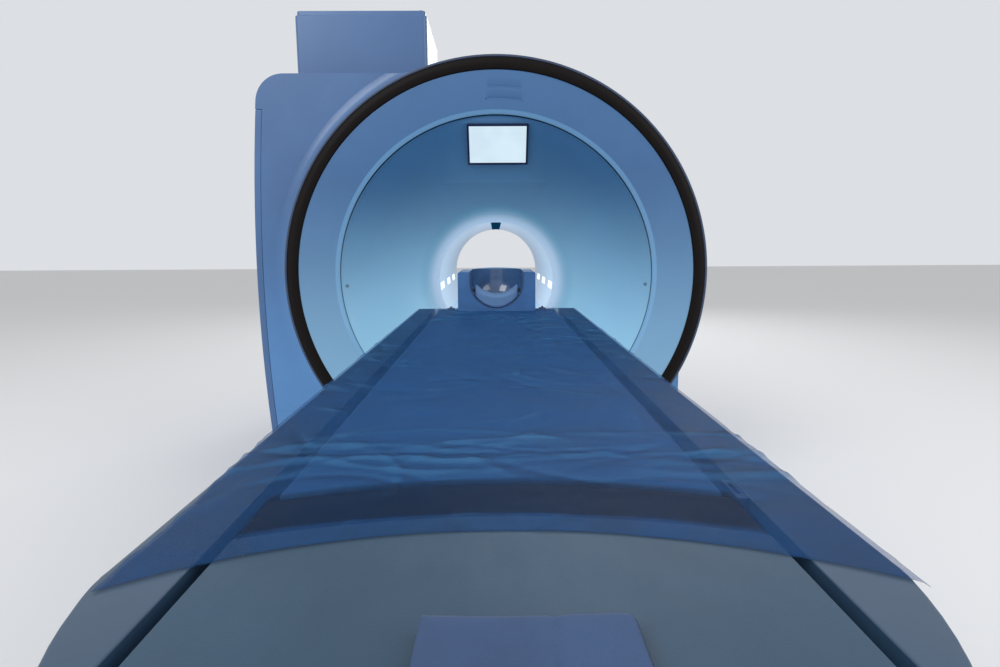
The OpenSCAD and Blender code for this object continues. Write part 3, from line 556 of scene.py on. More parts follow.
class Look(Enum):
    """Every finish used on the scanner."""

    COVER = MouldedCover("cover_white", (0.066, 0.158, 0.35))
    # Funnel, face ring and front cover carry painted tunnel light as emission; the face ring adds a painted
    # highlight on its chamfered inner edge
    FUNNEL = MouldedCover("funnel_white", (0.042, 0.152, 0.33), "cover_white", painted_light=0.85)
    FACE = MouldedCover("face_white", (0.050, 0.150, 0.34), "cover_white", painted_light=0.50, rim=0.55)
    FRONT = MouldedCover("front_white", (0.066, 0.158, 0.35), "cover_white", painted_light=0.30,
                         light=(0.12, 0.48, 1.0))
    # Rear bell and liner carry painted light as emission, brightest by the panes and the mouth, with painted
    # shade where the liner meets the funnel
    BELL = LinerPaintedLight("bell_white", (0.62, 0.76, 0.90), "liner_white", strength=0.25)
    LINER = LinerPaintedLight("liner_white", (0.40, 0.54, 0.68))
    TRIM = MouldedPlastic("trim_dark", (0.007, 0.005, 0.0045), roughness=0.55, shine=0.12)
    DRUM = PaintedMetal("drum_grey", (0.040, 0.065, 0.125), roughness=0.46)
    PANE = LitPane("light_pane", (0.9, 0.95, 1.0))
    STRIP = MouldedPlastic("strip_teal", (0.006, 0.070, 0.115), roughness=0.6, shine=0.0)
    VENT = MouldedPlastic("vent_black", (0.010, 0.014, 0.022))
    BEZEL = MouldedPlastic("display_frame", (0.012, 0.016, 0.060), roughness=0.22, coat=0.8)
    SCREEN = ScreenFinish("display_glass", (0.10, 0.13, 0.16))
    FIXING = MouldedPlastic("fixing_blue", (0.12, 0.20, 0.34))
    VESSEL = BareMetal("vessel_steel", (0.58, 0.59, 0.61), roughness=0.34)
    IRON = PaintedMetal("foot_iron", (0.16, 0.18, 0.21))
    RESIN = MouldedPlastic("coil_resin", (0.42, 0.28, 0.09), coat=0.4)
    COPPER = BareMetal("copper_sheet", (0.72, 0.40, 0.24))
    ALUMINIUM = BareMetal("frame_alu", (0.56, 0.57, 0.59), lines=(900.0, 8.0, 900.0))
    RAIL = BareMetal("rail_alu", (0.66, 0.67, 0.69), lines=(900.0, 6.0, 900.0))
    BASE = PaintedMetal("base_grey", (0.20, 0.24, 0.29), roughness=0.5, grain=300.0)
    SHROUD = MouldedCover("shroud_grey", (0.16, 0.22, 0.31), roughness=0.42)
    ROD = BareMetal("rod_chrome", (0.74, 0.75, 0.77), roughness=0.12, lines=(900.0, 900.0, 10.0))
    CYLINDER = PaintedMetal("cylinder_paint", (0.10, 0.12, 0.15))
    TUB = MouldedCover("tub_white", (0.085, 0.16, 0.28))
    STRIPS = MouldedCover("side_strip", (0.030, 0.070, 0.130), "cover_white", roughness=0.40)
    GRIP = MouldedPlastic("grip_dark", (0.003, 0.006, 0.022), shine=0.15)
    ANCHOR = MouldedPlastic("anchor_black", (0.012, 0.020, 0.045), coat=0.3)
    BOARD = MouldedPlastic("board_white", (0.62, 0.72, 0.80), roughness=0.35)
    VINYL = CoatedFabric("mattress_vinyl", (0.030, 0.150, 0.40))
    FOOT = CoatedFabric("foot_vinyl", (0.032, 0.074, 0.128), "mattress_vinyl")
    COIL = MouldedPlastic("coil_blue", (0.045, 0.150, 0.37), roughness=0.40, coat=0.15)
    # Paler copy of the coil's colour in the same slot: a painted highlight along the raised rim
    RIM_PAINTED_HIGHLIGHT = MouldedPlastic("coil_rim", (0.22, 0.38, 0.58), "coil_blue", roughness=0.30, coat=0.4)
    TROUGH = MouldedPlastic("liner_blue", (0.05, 0.12, 0.27), roughness=0.16, coat=0.7)
    PAD = CoatedFabric("pad_foam", (0.12, 0.24, 0.46), roughness=0.6, grain=1100.0)
    CLIP = MouldedPlastic("clip_black", (0.012, 0.014, 0.020))
    KNOB = MouldedPlastic("knob_dark", (0.035, 0.055, 0.090), roughness=0.25, coat=0.5)
    SHEET = Nonwoven("sheet_blue", (0.008, 0.074, 0.240), alpha=0.34)
    CLOTH = Woven("cloth_blue", (0.048, 0.092, 0.200))
    MOTOR = PaintedMetal("motor_dark", (0.07, 0.08, 0.10))


# Nodes with short edges beside long ones, whose rounding is held to what fits
CROWDED = {"bridge", "coil_knob_left", "coil_knob_right", "display_bezel", "front_cover", "front_kick_panel",
           "head_coil_shell", "top_cover", "cover_frame"}


# Mesh building


def grid_faces(rows: int, columns: int, close_rows: bool = False, close_columns: bool = False) -> Array:
    """Quads of a grid of points.

    Args:
        rows: Points along the first parameter.
        columns: Points along the second parameter.
        close_rows: Whether the last row joins the first.
        close_columns: Whether the last column joins the first.

    Returns:
        Face corners, four point numbers a face.
    """
    i = np.arange(rows if close_rows else rows - 1)
    j = np.arange(columns if close_columns else columns - 1)
    i, j = np.meshgrid(i, j, indexing="ij")
    i2, j2 = (i + 1) % rows, (j + 1) % columns
    corners = [i * columns + j, i * columns + j2, i2 * columns + j2, i2 * columns + j]
    return np.stack(corners, -1).reshape(-1, 4)


def placed(name: str, data: bpy.types.ID) -> bpy.types.Object:
    """Makes an object of the scene from its data, at the origin."""
    made = bpy.data.objects.new(name, data)
    bpy.context.scene.collection.objects.link(made)
    return made


def mesh_from(name: str, points: Array, faces: Sequence[Sequence[int]],
              smooth: float = 180.0) -> bpy.types.Object:
    """Makes an object from points and faces.

    Args:
        name: The piece's name.
        points: Corner points, n by 3.
        faces: Point numbers of each face.
        smooth: Edges bent by more than this many degrees stay sharp; 0 shades it flat.

    Returns:
        The linked object, at the origin.
    """
    mesh = bpy.data.meshes.new(name)
    mesh.from_pydata(points.reshape(-1, 3).tolist(), [], [list(map(int, face)) for face in faces])
    mesh.validate()
    if smooth:
        mesh.shade_smooth()
        if smooth < 180:
            mesh.set_sharp_from_angle(angle=math.radians(smooth))
    mesh.update()
    return placed(name, mesh)


def read_points(piece: bpy.types.Object, field: str = "co") -> Array:
    """The places of a mesh's points, or its normals, n by 3."""
    values = np.empty(len(piece.data.vertices) * 3)
    piece.data.vertices.foreach_get(field, values)
    return values.reshape(-1, 3)


def write_points(piece: bpy.types.Object, points: Array) -> None:
    """Moves the mesh's points to new places."""
    piece.data.vertices.foreach_set("co", points.reshape(-1))
    piece.data.update()


def walled(piece: bpy.types.Object, thickness: float, offset: float) -> None:
    """Gives an open surface its wall: behind it at offset -1, before it at 1, about it at 0."""
    solid = piece.modifiers.new("wall", "SOLIDIFY")
    solid.thickness = thickness
    solid.offset = offset


def outward(piece: bpy.types.Object) -> None:
    """Turns the faces of a closed mesh outwards."""
    work = bmesh.new()
    work.from_mesh(piece.data)
    bmesh.ops.recalc_face_normals(work, faces=work.faces)
    work.to_mesh(piece.data)
    work.free()


def soft_min(first: Array, second: Array, width: float) -> Array:
    """The smaller of two fields with a rounded changeover: half of (a + b - sqrt((a - b)^2 + w^2))."""
    return 0.5 * (first + second - np.sqrt((first - second) ** 2 + width * width))


def round_profile(corners: Sequence[tuple[float, float, float]]) -> Array:
    """Closed outline with rounded corners.

    Args:
        corners: (a, b, radius) of each corner, in order.

    Returns:
        Outline points, n by 2. Each rounded corner is a quadratic curve whose ends lie the radius
        from the corner along its two sides.
    """
    points = np.array(corners)
    here, radius = points[:, None, :2], points[:, None, 2:]
    before, after = np.roll(here, 1, 0) - here, np.roll(here, -1, 0) - here
    start = here + before / np.linalg.norm(before, axis=2, keepdims=True) * radius
    end = here + after / np.linalg.norm(after, axis=2, keepdims=True) * radius
    t = np.linspace(0, 1, 7)[:, None]
    return ((1 - t) ** 2 * start + 2 * t * (1 - t) * here + t * t * end).reshape(-1, 2)


def turned(name: str, outline: Array, spans: Sequence[tuple[float, float]]) -> bpy.types.Object:
    """Turns a closed outline about the front ring's axis.

    Args:
        name: The piece's name.
        outline: Radius and Y of its corners.
        spans: Start and end angle of each arc, in degrees from +X towards +Z; a full turn has no ends.

    Returns:
        The piece. A point at radius r and angle a lies at (r cos a, y, ring_z + r sin a).
    """
    step, smooth = 0.8, 35.0
    points: list[Array] = []
    faces: list[list[int]] = []
    sides = len(outline)
    for first, last in spans:
        full = last - first >= 360
        count = max(2, int(round((last - first) / step)) + (0 if full else 1))
        angle = np.radians(np.linspace(first, last, count, endpoint=not full))[:, None]
        base = sum(len(p) for p in points)
        radius, y = outline[:, 0][None, :], outline[:, 1][None, :]
        ring = np.stack([radius * np.cos(angle), y + 0 * angle, PLAN.ring_z + radius * np.sin(angle)], -1)
        points.append(ring.reshape(-1, 3))
        faces.extend((grid_faces(count, sides, full, True) + base).tolist())
        if not full:
            faces.append([base + k for k in range(sides)])
            faces.append([base + (count - 1) * sides + k for k in reversed(range(sides))])
    piece = mesh_from(name, np.concatenate(points), faces, smooth)
    outward(piece)
    piece.data.set_sharp_from_angle(angle=math.radians(smooth))
    return piece


def linked(name: str, work: bmesh.types.BMesh) -> bpy.types.Object:
    """Turns a worked mesh into an object of the scene, at the origin."""
    mesh = bpy.data.meshes.new(name)
    work.to_mesh(mesh)
    work.free()
    return placed(name, mesh)


def softened(node: str, width: float, angle: float = 32.0) -> bpy.types.Object:
    """Copy of a node's solid with merged corners, one face a plane and rounded edges.

    Args:
        node: The node.
        width: Width of the rounding in metres; 0 leaves its edges.
        angle: Edges bent by more degrees than this are rounded.

    Returns:
        The copy, named after the node.
    """
    source = frame["nodes"][node]
    work = bmesh.new()
    work.from_mesh(source.data)
    work.transform(source.matrix_world)
    bmesh.ops.remove_doubles(work, verts=work.verts, dist=MERGE)
    bmesh.ops.join_triangles(work, faces=work.faces, angle_face_threshold=math.radians(0.5),
                             angle_shape_threshold=math.pi)
    piece = linked(node + "_finished", work)
    piece.data.shade_smooth()
    piece.data.set_sharp_from_angle(angle=math.radians(angle))
    if width > 0:
        bevel = piece.modifiers.new("round", "BEVEL")
        bevel.width = width
        bevel.segments = 3
        bevel.limit_method = "ANGLE"
        bevel.angle_limit = math.radians(angle)
        bevel.use_clamp_overlap = node in CROWDED
        weighted = piece.modifiers.new("normals", "WEIGHTED_NORMAL")
        weighted.weight = 90
        bake(piece)
    return piece


def bake(piece: bpy.types.Object) -> None:
    """Applies the piece's modifiers to its mesh."""
    graph = bpy.context.evaluated_depsgraph_get()
    mesh = bpy.data.meshes.new_from_object(piece.evaluated_get(graph), depsgraph=graph)
    piece.modifiers.clear()
    old = piece.data
    piece.data = mesh
    bpy.data.meshes.remove(old)
    mesh.name = piece.name


class Assembly:
    """Base of the sub-assemblies: dresses their pieces and attaches them to their bodies."""

    # Look and width of the rounded edges of each node that is its own solid with softer edges
    parts: ClassVar[dict[str, tuple[Look, float]]] = {}

    @staticmethod
    def keep(piece: bpy.types.Object, node: str, look: Look) -> bpy.types.Object:
        """Gives a finished piece its material and its body, and hides the node that it stands for.

        Args:
            piece: The object, at the origin.
            node: The solid that it stands for, which gives its body.
            look: Its finish.

        Returns:
            The piece.
        """
        finish = look.value
        piece.data.materials.clear()
        piece.data.materials.append(finish.material())
        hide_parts(node)
        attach(piece, body_of(frame["nodes"][node])[0])
        log.info("%s: %d faces", piece.name, len(piece.data.polygons))
        return piece

    def build(self) -> None:
        """Builds the sub-assembly's pieces; here, every part with rounded edges."""
        for node, (look, width) in self.parts.items():
            self.keep(softened(node, width), node, look)


class Magnet(Assembly):
    """Magnet, its coils and feet, and the frame that carries the covers."""

    parts = {
        "magnet_vessel": (Look.VESSEL, 0.006), "magnet_feet": (Look.IRON, 0.003),
        "service_turret": (Look.VESSEL, 0.003), "gradient_coil": (Look.RESIN, 0.003),
        "transmit_coil": (Look.COPPER, 0.002), "cover_frame": (Look.ALUMINIUM, 0.0015),
        "vent_backing": (Look.VENT, 0.001),
    }


class FrontRing(Assembly):
    """Drum, dark trim, face ring and funnel with painted light, all turned about the ring's own axis."""

    parts = {
        "display_bezel": (Look.BEZEL, 0.0025), "display_screen": (Look.SCREEN, 0.001),
        "cover_fixings": (Look.FIXING, 0.0008),
    }
    # Radius, middle angle and span in degrees of each louvre's slot
    louvres: ClassVar[tuple[tuple[float, float, float], ...]] = ((0.8301, 87.1, 10.4), (0.7810, 87.1, 12.1))

    def drum(self) -> None:
        """Thin drum with a beaded front edge and rolled back, in six arcs with fine joints between."""
        p = PLAN
        wall, back, face = p.drum_r - p.trim_r, p.front_y - 0.0004, p.ring_y
        inside = p.trim_r - 0.1
        outline = round_profile([
            (p.trim_r, face + 0.0015, 0.004), (p.drum_r, face + 0.0015, 0.0045), (p.drum_r, back, 0.022),
            (inside, back, 0.001), (inside, back - wall, 0.001), (p.trim_r - 0.02, back - wall, 0.012),
            (p.trim_r, back - wall - 0.02, 0.01)])
        joints, half_gap = [-14.7, 53.5, 126.5, 194.7, 250.0, 290.0, 345.3], 0.022
        spans = [(a + half_gap, b - half_gap) for a, b in zip(joints, joints[1:])]
        self.keep(turned("drum_shell_finished", outline, spans), "drum_shell", Look.DRUM)

    def trim(self) -> None:
        """Dark trim with a raised bead along its inner and its outer edge."""
        p = PLAN
        inner, outer, y = p.face_r + 0.0003, p.trim_r - 0.0004, p.ring_y
        outline = round_profile([
            (inner, y + 0.013, 0.001), (inner, y - 0.004, 0.003), (inner + 0.016, y - 0.0100, 0.010),
            (outer - 0.018, y - 0.0095, 0.012), (outer, y + 0.001, 0.006), (outer, y + 0.013, 0.001)])
        self.keep(turned("dark_trim_ring_finished", outline, [(0, 360)]), "dark_trim_ring", Look.TRIM)

    def face_profile(self) -> tuple[Array, Array]:
        """Radius and depth of the face ring's rows, with its chamfer and finer rows at the louvres."""
        p = PLAN
        flat_start, flat_end = p.groove_r + 0.018, p.face_r - 0.004
        edge = np.array([(0.0, 0.0340), (0.0, 0.0240), (0.0012, 0.0215), (0.0040, 0.0190), (0.0145, 0.0125),
                         (0.0180, 0.0100)])
        flat = np.linspace(flat_start + 0.002, flat_end, 44).round(5)
        for centre, _, _ in self.louvres:
            flat = flat[(flat <= centre - 0.006) | (flat >= centre + 0.040)]
            scoop = (centre + 0.0029 + 0.0024 * np.arange(1, 16)).round(5)
            lips = centre + np.array([-0.0045, -0.0029, -0.0024, 0.0024, 0.0029])
            flat = np.concatenate([flat, lips, scoop])
        flat.sort()
        fade = np.clip((flat - flat_start) / (flat_end - flat_start), 0, 1)
        rim = np.array([(-0.0022, 0.0002), (-0.0008, 0.0012), (-0.0004, 0.003), (-0.0004, 0.012)])
        radii = np.concatenate([p.groove_r + edge[:, 0], flat, p.face_r + rim[:, 0]])
        depth = np.concatenate([edge[:, 1], 0.0100 * (1 - fade) ** 1.6, rim[:, 1]])
        return radii, p.ring_y + depth

    def face(self) -> None:
        """Face ring with a chamfered inner edge and two open louvres under scoops.

        The front is a polar grid. A scoop sinks from nothing at its upper edge to 6 mm at its slot,
        and the slot itself is left open.
        """
        p = PLAN
        slot_half, scoop_deep, scoop_tall, lip = 0.0018, 0.0060, 0.034, 0.0025
        radii, depth = self.face_profile()
        angle = np.arange(0, 360, 1.0)
        for _, middle, span in self.louvres:
            low, high = middle - span / 2, middle + span / 2
            angle = angle[np.abs(angle - middle) >= span / 2 + 1.0]
            ends = [low - 0.2, low - 0.1, high + 0.1, high + 0.2]
            angle = np.concatenate([angle, np.linspace(low, high, 24).round(3), ends])
        r, a = np.meshgrid(radii, np.unique(angle))
        y = np.broadcast_to(depth, r.shape).copy()
        faces = grid_faces(*r.shape, close_rows=True)
        face_r, face_a = r.reshape(-1)[faces], a.reshape(-1)[faces]
        middle_r = (face_r.max(1) + face_r.min(1)) / 2
        keep = np.ones(len(faces), bool)
        for centre, middle, span in self.louvres:
            above = np.clip((r - centre - lip) / scoop_tall, 0, 1)
            scoop = np.where(r > centre + lip + 0.0001, (1 - above) ** 1.4, 0.0)
            y += scoop_deep * scoop * np.clip((span / 2 - np.abs(a - middle)) / 0.25, 0, 1)
            inside = np.abs(face_a - middle).max(1) <= span / 2 + 0.002
            keep &= ~((np.abs(middle_r - centre) < slot_half) & inside)
        turn = np.radians(a)
        points = np.stack([r * np.cos(turn), y, p.ring_z + r * np.sin(turn)], -1)
        piece = mesh_from("face_ring_finished", points, faces[keep], 50.0)
        walled(piece, 0.006, -1.0)
        self.keep(piece, "face_ring", Look.FACE)

    def funnel(self) -> None:
        """Leaning funnel with a flat brow under its crown.

        Each ring lies at depth y with its radius on a 52 degree cone that turns into a 135 mm flare.
        Ring centres rise from the tunnel's axis to the ring's. Heights are held under the brow's
        height at that depth by a soft minimum, so that its edges are rounded.
        """
        p = PLAN
        columns = 360
        cone_end = p.mouth_y - p.flare_r * math.sin(p.flare_turn) - 0.004
        cone = np.concatenate([
            p.lip_y + np.array([0.0006, 0.0016, 0.0028]), np.linspace(p.lip_y + 0.0045, p.lip_y + 0.012, 5),
            np.linspace(p.lip_y + 0.016, p.crease_y - 0.012, 32),
            np.linspace(p.crease_y - 0.009, p.crease_y + 0.009, 19),
            np.linspace(p.crease_y + 0.012, cone_end, 26)])
        cone_r = p.funnel_r - (cone - p.lip_y) * math.tan(p.flare_turn)
        bend = np.linspace(p.flare_turn, 0, 34)
        flare_r = p.bore_r + p.flare_r * (1 - np.cos(bend))
        flare_y = p.mouth_y - p.flare_r * np.sin(bend)
        flare_y[-1] -= 0.0006
        radius = np.concatenate([[p.funnel_r - 0.0002, p.funnel_r - 0.0004], cone_r, flare_r])
        depth = np.concatenate([[p.lip_y + 0.012, p.lip_y + 0.003], cone, flare_y])
        radius[2] -= 0.0003
        angle = np.linspace(0, 2 * np.pi, columns, endpoint=False)
        r, a = np.meshgrid(radius, angle, indexing="ij")
        y = np.broadcast_to(depth[:, None], r.shape)
        centre = p.axis_z + (p.ring_z - p.axis_z) * (p.mouth_y - y) / (p.mouth_y - p.lip_y)
        z = centre + r * np.sin(a)
        brow_y = [p.brow_top_y - 0.005, p.brow_top_y, p.crease_y, p.brow_end_y, p.brow_end_y + 0.05]
        brow = np.interp(depth, brow_y, [0.775, p.brow_top_up, p.crease_up, p.brow_end_up, 0.60])
        brow[:2] = 0.80
        brow -= 0.0016 * np.exp(-((depth - p.crease_y) / 0.0022) ** 2)
        width_y = [p.brow_top_y, p.brow_top_y + 0.02, p.crease_y, p.brow_end_y]
        width = np.interp(depth, width_y, [0.004, 0.010, 0.012, 0.03])
        z = np.where(np.sin(a) > 0, soft_min(z, (p.axis_z + brow)[:, None], width[:, None]), z)
        faces = grid_faces(len(radius), columns, close_columns=True)
        piece = mesh_from("funnel_finished", np.stack([r * np.cos(a), y, z], -1), faces, 60.0)
        walled(piece, 0.007, -1.0)
        self.keep(piece, "funnel", Look.FUNNEL)

    def build(self) -> None:
        """Builds the ring from outside in, with the display and its fixings."""
        self.drum()
        self.trim()
        self.face()
        self.funnel()
        super().build()


class Tunnel(Assembly):
    """Liner with painted light, its floor, bridge rails, light panes and rear bell."""

    parts = {
        "bore_liner": (Look.LINER, 0.0), "bore_floor": (Look.LINER, 0.0008), "bridge": (Look.LINER, 0.002),
        "side_lights": (Look.PANE, 0.001), "crown_strip": (Look.STRIP, 0.001),
        "mouth_light_ring": (Look.PANE, 0.001), "rear_flare": (Look.BELL, 0.002),
    }


class Covers(Assembly):
    """Moulded covers of the magnet and the duct box on the roof."""

    parts = {
        "front_cover": (Look.FRONT, 0.0025), "front_kick_panel": (Look.FRONT, 0.0025),
        "left_side_cover": (Look.COVER, 0.004), "right_side_cover": (Look.COVER, 0.004),
        "top_cover": (Look.COVER, 0.003), "rear_cover": (Look.COVER, 0.0015),
        "duct_cover": (Look.COVER, 0.004),
    }


class Table(Assembly):
    """Patient table: column, tub, side strips, foot end and rails."""

    parts = {
        "table_base": (Look.BASE, 0.003), "outer_shroud": (Look.SHROUD, 0.0015),
        "lift_cylinder": (Look.CYLINDER, 0.002), "middle_shroud": (Look.SHROUD, 0.0015),
        "lift_stage": (Look.ROD, 0.001), "inner_shroud": (Look.SHROUD, 0.0015),
        "lift_rod": (Look.ROD, 0.001), "table_tub": (Look.TUB, 0.003),
        "side_strip_left": (Look.STRIPS, 0.002), "side_strip_right": (Look.STRIPS, 0.002),
        "guide_rails": (Look.RAIL, 0.0015), "foot_cap": (Look.FOOT, 0.002),
        "foot_grip": (Look.GRIP, 0.0015), "travel_drive": (Look.MOTOR, 0.002),
        "strap_anchor": (Look.ANCHOR, 0.0006), "sliding_board": (Look.BOARD, 0.0015),
    }

    def build(self) -> None:
        """Builds the table, with the strap anchor's underside clear of the groove that it slides in."""
        super().build()
        anchor = bpy.data.objects["strap_anchor_finished"]
        points = read_points(anchor)
        points[:, 2] += ANCHOR_CLEAR * (points[:, 2] < PLAN.tub_top + 0.0003)
        write_points(anchor, points)


class HeadCoil(Assembly):
    """Head coil block with its glossy bowl, raised rim, clips and knobs."""

    parts = {
        "head_coil_liner": (Look.TROUGH, 0.001), "coil_pad_clips": (Look.CLIP, 0.001),
        "coil_knob_left": (Look.KNOB, 0.0025), "coil_knob_right": (Look.KNOB, 0.0025),
    }

    def rim(self) -> None:
        """Raised rim that runs along the block's back edge.

        It is a round bar bent along a flat arc: its height falls by about a third of a 330 mm
        circle's drop from the middle to both ends, where it sinks into the block.
        """
        top, back, half, bar, bend = 1.124, -1.096, 0.1235, 0.0065, 0.33
        x = np.linspace(-half, half, 49)
        drop = bend - np.sqrt(bend**2 - x**2)
        middle = np.stack([x, np.full_like(x, back), top - drop * 0.35], -1)
        turn = np.linspace(0, 2 * np.pi, 12, endpoint=False)
        ring = np.stack([0 * turn, np.cos(turn), np.sin(turn)], -1) * bar
        points = (middle[:, None, :] + ring[None, :, :]).reshape(-1, 3)
        faces = grid_faces(len(x), len(turn), False, True).tolist()
        faces += [list(range(len(turn))), [(len(x) - 1) * len(turn) + k for k in reversed(range(len(turn)))]]
        rim = mesh_from("coil_rim", points, faces, 50.0)
        outward(rim)
        self.keep(rim, "head_coil_shell", Look.RIM_PAINTED_HIGHLIGHT)

    def build(self) -> None:
        """Builds the coil's block and rim, then its other parts."""
        self.keep(softened("head_coil_shell", 0.004, angle=40.0), "head_coil_shell", Look.COIL)
        self.rim()
        super().build()


class SoftGoods(Assembly):
    """Mattress, neck pad, drape sheet and folded cloth."""

    @staticmethod
    def inflated(node: str, voxel: float, shrink: float, cap: float,
                 heights: tuple[float, float]) -> bpy.types.Object:
        """Pad whose skin a cloth simulation has swelled by a light inner pressure.

        Args:
            node: The node whose solid gives the shape.
            voxel: Edge of the remeshed skin's cells.
            shrink: How far its sides are drawn in first.
            cap: How far a point may move.
            heights: Lowest and highest height that it keeps to.

        Returns:
            The pad.
        """
        work = bmesh.new()
        work.from_mesh(frame["nodes"][node].data)
        bmesh.ops.remove_doubles(work, verts=work.verts, dist=MERGE)
        piece = linked(node + "_finished", work)
        remesh = piece.modifiers.new("skin", "REMESH")
        remesh.mode = "VOXEL"
        remesh.voxel_size = voxel
        bake(piece)
        start = read_points(piece) - shrink * read_points(piece, "normal")
        write_points(piece, start)
        moved = start
        last_step = 20
        cloth = piece.modifiers.new("swell", "CLOTH")
        cloth.settings.quality = 4
        cloth.settings.use_pressure = True
        cloth.settings.uniform_pressure_force = 4.0
        cloth.settings.effector_weights.gravity = 0.0
        for number in range(1, last_step + 1):
            bpy.context.scene.frame_set(number)
        bake(piece)
        bpy.context.scene.frame_set(1)
        step = read_points(piece) - start
        length = np.linalg.norm(step, axis=1, keepdims=True)
        moved = start + step * np.minimum(1.0, cap / np.maximum(length, 1e-9))
        moved[:, 2] = np.clip(moved[:, 2], *heights)
        piece.data.shade_smooth()
        write_points(piece, moved)
        return piece

    def mattress(self) -> None:
        """Thin coated mattress on the sliding board."""
        heights = (PLAN.board_top + 0.0002, PLAN.table_z - 0.0006)
        piece = self.inflated("mattress", 0.009, 0.0018, 0.005, heights)
        self.keep(piece, "mattress", Look.VINYL)

    def neck_pad(self) -> None:
        """Crescent neck pad in the front of the bowl."""
        piece = self.inflated("head_coil_pad", 0.0025, 0.0015, 0.003, (0.9, 1.2))
        finer = piece.modifiers.new("finer", "SUBSURF")
        finer.levels = finer.render_levels = 1
        self.keep(piece, "head_coil_pad", Look.PAD)

    @staticmethod
    def creases(x: Array, y: Array) -> Array:
        """Height of many short creases, each a sharp low ridge that fades towards its ends.

        A crease is a*exp(-|d|/w)*exp(-2(s/l)^2), with d across and s along it, bent a little by s^2.
        """
        rng = np.random.default_rng(23)
        total = np.zeros_like(x)
        # Centre and spread in x and y, number, main angle, spread of the angle, length, height
        zones = (
            (0.16, -1.95, 0.12, 0.55, 70, 0.2, 0.9, 0.06, 0.0011),
            (-0.15, -1.50, 0.14, 0.20, 40, 0.1, 0.5, 0.07, 0.0012),
            (0.10, -1.62, 0.18, 0.15, 40, 0.0, 0.5, 0.07, 0.0012),
            (0.0, -2.6, 0.30, 0.50, 60, 0.9, 1.2, 0.08, 0.0008),
            (0.0, -3.12, 0.33, 0.12, 40, 0.0, 0.35, 0.09, 0.0010),
            (0.30, -2.1, 0.04, 0.75, 40, 0.3, 0.9, 0.03, 0.0011),
            (-0.30, -2.3, 0.04, 0.85, 36, -0.3, 0.9, 0.03, 0.0009),
        )
        for cx, cy, sx, sy, number, lean, spread, long, tall in zones:
            for _ in range(number):
                dx, dy = x - cx - rng.normal(0, sx * 0.6), y - cy - rng.normal(0, sy * 0.6)
                turn = lean + rng.normal(0, spread)
                length, width = long * rng.uniform(0.7, 2.6), rng.uniform(0.0042, 0.0115)
                height = 3.0 * tall * rng.uniform(0.3, 1.0) * rng.choice([1.0, 1.0, -1.0])
                along = dx * math.cos(turn) + dy * math.sin(turn)
                across = dy * math.cos(turn) - dx * math.sin(turn) + rng.normal(0, 2.0) * along**2
                total += height * np.exp(-np.abs(across) / width - 2 * (along / length) ** 2)
        return total

    @staticmethod
    def folds(x: Array, y: Array) -> tuple[Array, Array]:
        """Crests of the sheet's three long folds, and the same with a trough behind each that exists only as
        painted shade in the sheet's colour.
        """
        crests, painted_fold_relief = np.zeros_like(x), np.zeros_like(x)
        # Place along the table, left end, right end, height
        for place, start, end, tall in ((-1.943, -0.02, 0.26, 0.0016), (-3.133, -0.30, 0.27, 0.0017),
                                        (-2.53, -0.2, 0.22, 0.0006)):
            away = y - place - 0.004 * np.sin(8.0 * x)
            window = 1 / (1 + np.exp(-(x - start) / 0.012)) / (1 + np.exp((x - end) / 0.012))
            crest = tall * window * np.exp(-np.abs(away) / 0.0035)
            crests += crest
            # The trough is not in the sheet's shape; it only darkens its colour as painted shade
            painted_fold_relief += crest - 0.8 * tall * window * np.exp(-np.abs(away - 0.014) / 0.006)
        return crests, painted_fold_relief

    def drape(self) -> None:
        """Thin sheet laid over the whole table, with a cut-out round the head coil.

        Its near edge bows towards the head, its sides hang over the table's edges by a few
        millimetres, and it dips into the grooves beside the mattress.
        """
        p = PLAN
        notch_x, notch_y, half = 0.1655, -1.3775, p.table_half + 0.0015
        coarse_from, bow_reach, corner_reach = -2.60, 0.30, 0.45
        columns = np.concatenate([np.linspace(-half, half, 151), [-notch_x, notch_x]])
        near, far = np.linspace(p.sheet_foot, coarse_from, 150), np.linspace(coarse_from, p.table_head, 162)
        rows = np.unique(np.concatenate([near, far, [notch_y]]).round(5))
        columns = np.unique(columns.round(5))
        x, y = np.meshgrid(columns, rows)
        bow = np.sqrt(p.sheet_arc_r**2 - x**2) - p.sheet_arc_r
        y = y + bow * np.clip(1 - (y - p.sheet_foot) / bow_reach, 0, 1) ** 2
        waves = ((31.0, 0.0, 0.0010), (74.0, 1.0, 0.0008), (143.0, 2.0, 0.0005))
        ragged = sum(np.sin(y * rate + phase) * tall for rate, phase, tall in waves)
        x = x + np.where(np.abs(x) > 0.33, np.sign(x) * ragged * (np.abs(x) - 0.33) / 0.014, 0.0)
        corner = np.clip(1 - (y - p.sheet_foot) / corner_reach, 0, 1)
        x = x + 0.016 * corner * np.clip(-x / p.table_half, 0, 1) ** 3
        swell = np.sin(9.0 * x + 4.0 * y + 1.2 * np.sin(5.0 * y))
        swell *= np.sin(7.0 * y + 3.0 * np.sin(6.0 * x) + 0.7)
        creases = self.creases(x, y)
        crests, painted_fold_relief = self.folds(x, y)
        z = p.table_z + 0.0015 + 0.0005 * swell + creases + crests
        for groove in (p.slide_half, p.strip_in):
            z -= 0.0016 * np.exp(-((np.abs(x) - groove) / 0.0035) ** 2)
        z += 0.0009 * np.exp(-np.abs(x - 0.045 + 0.01 * np.sin(3 * y)) / 0.004) * (y < -1.95)
        # Relief that the painted light follows: the creases, and the folds with their painted troughs
        relief = creases + painted_fold_relief
        # Painted light and shade: the relief's slope along a fixed light direction, a painted highlight where
        # positive and painted shade where negative
        slope = 5.2 * np.gradient(relief, rows, axis=0) + 2.5 * np.gradient(relief, columns, axis=1)
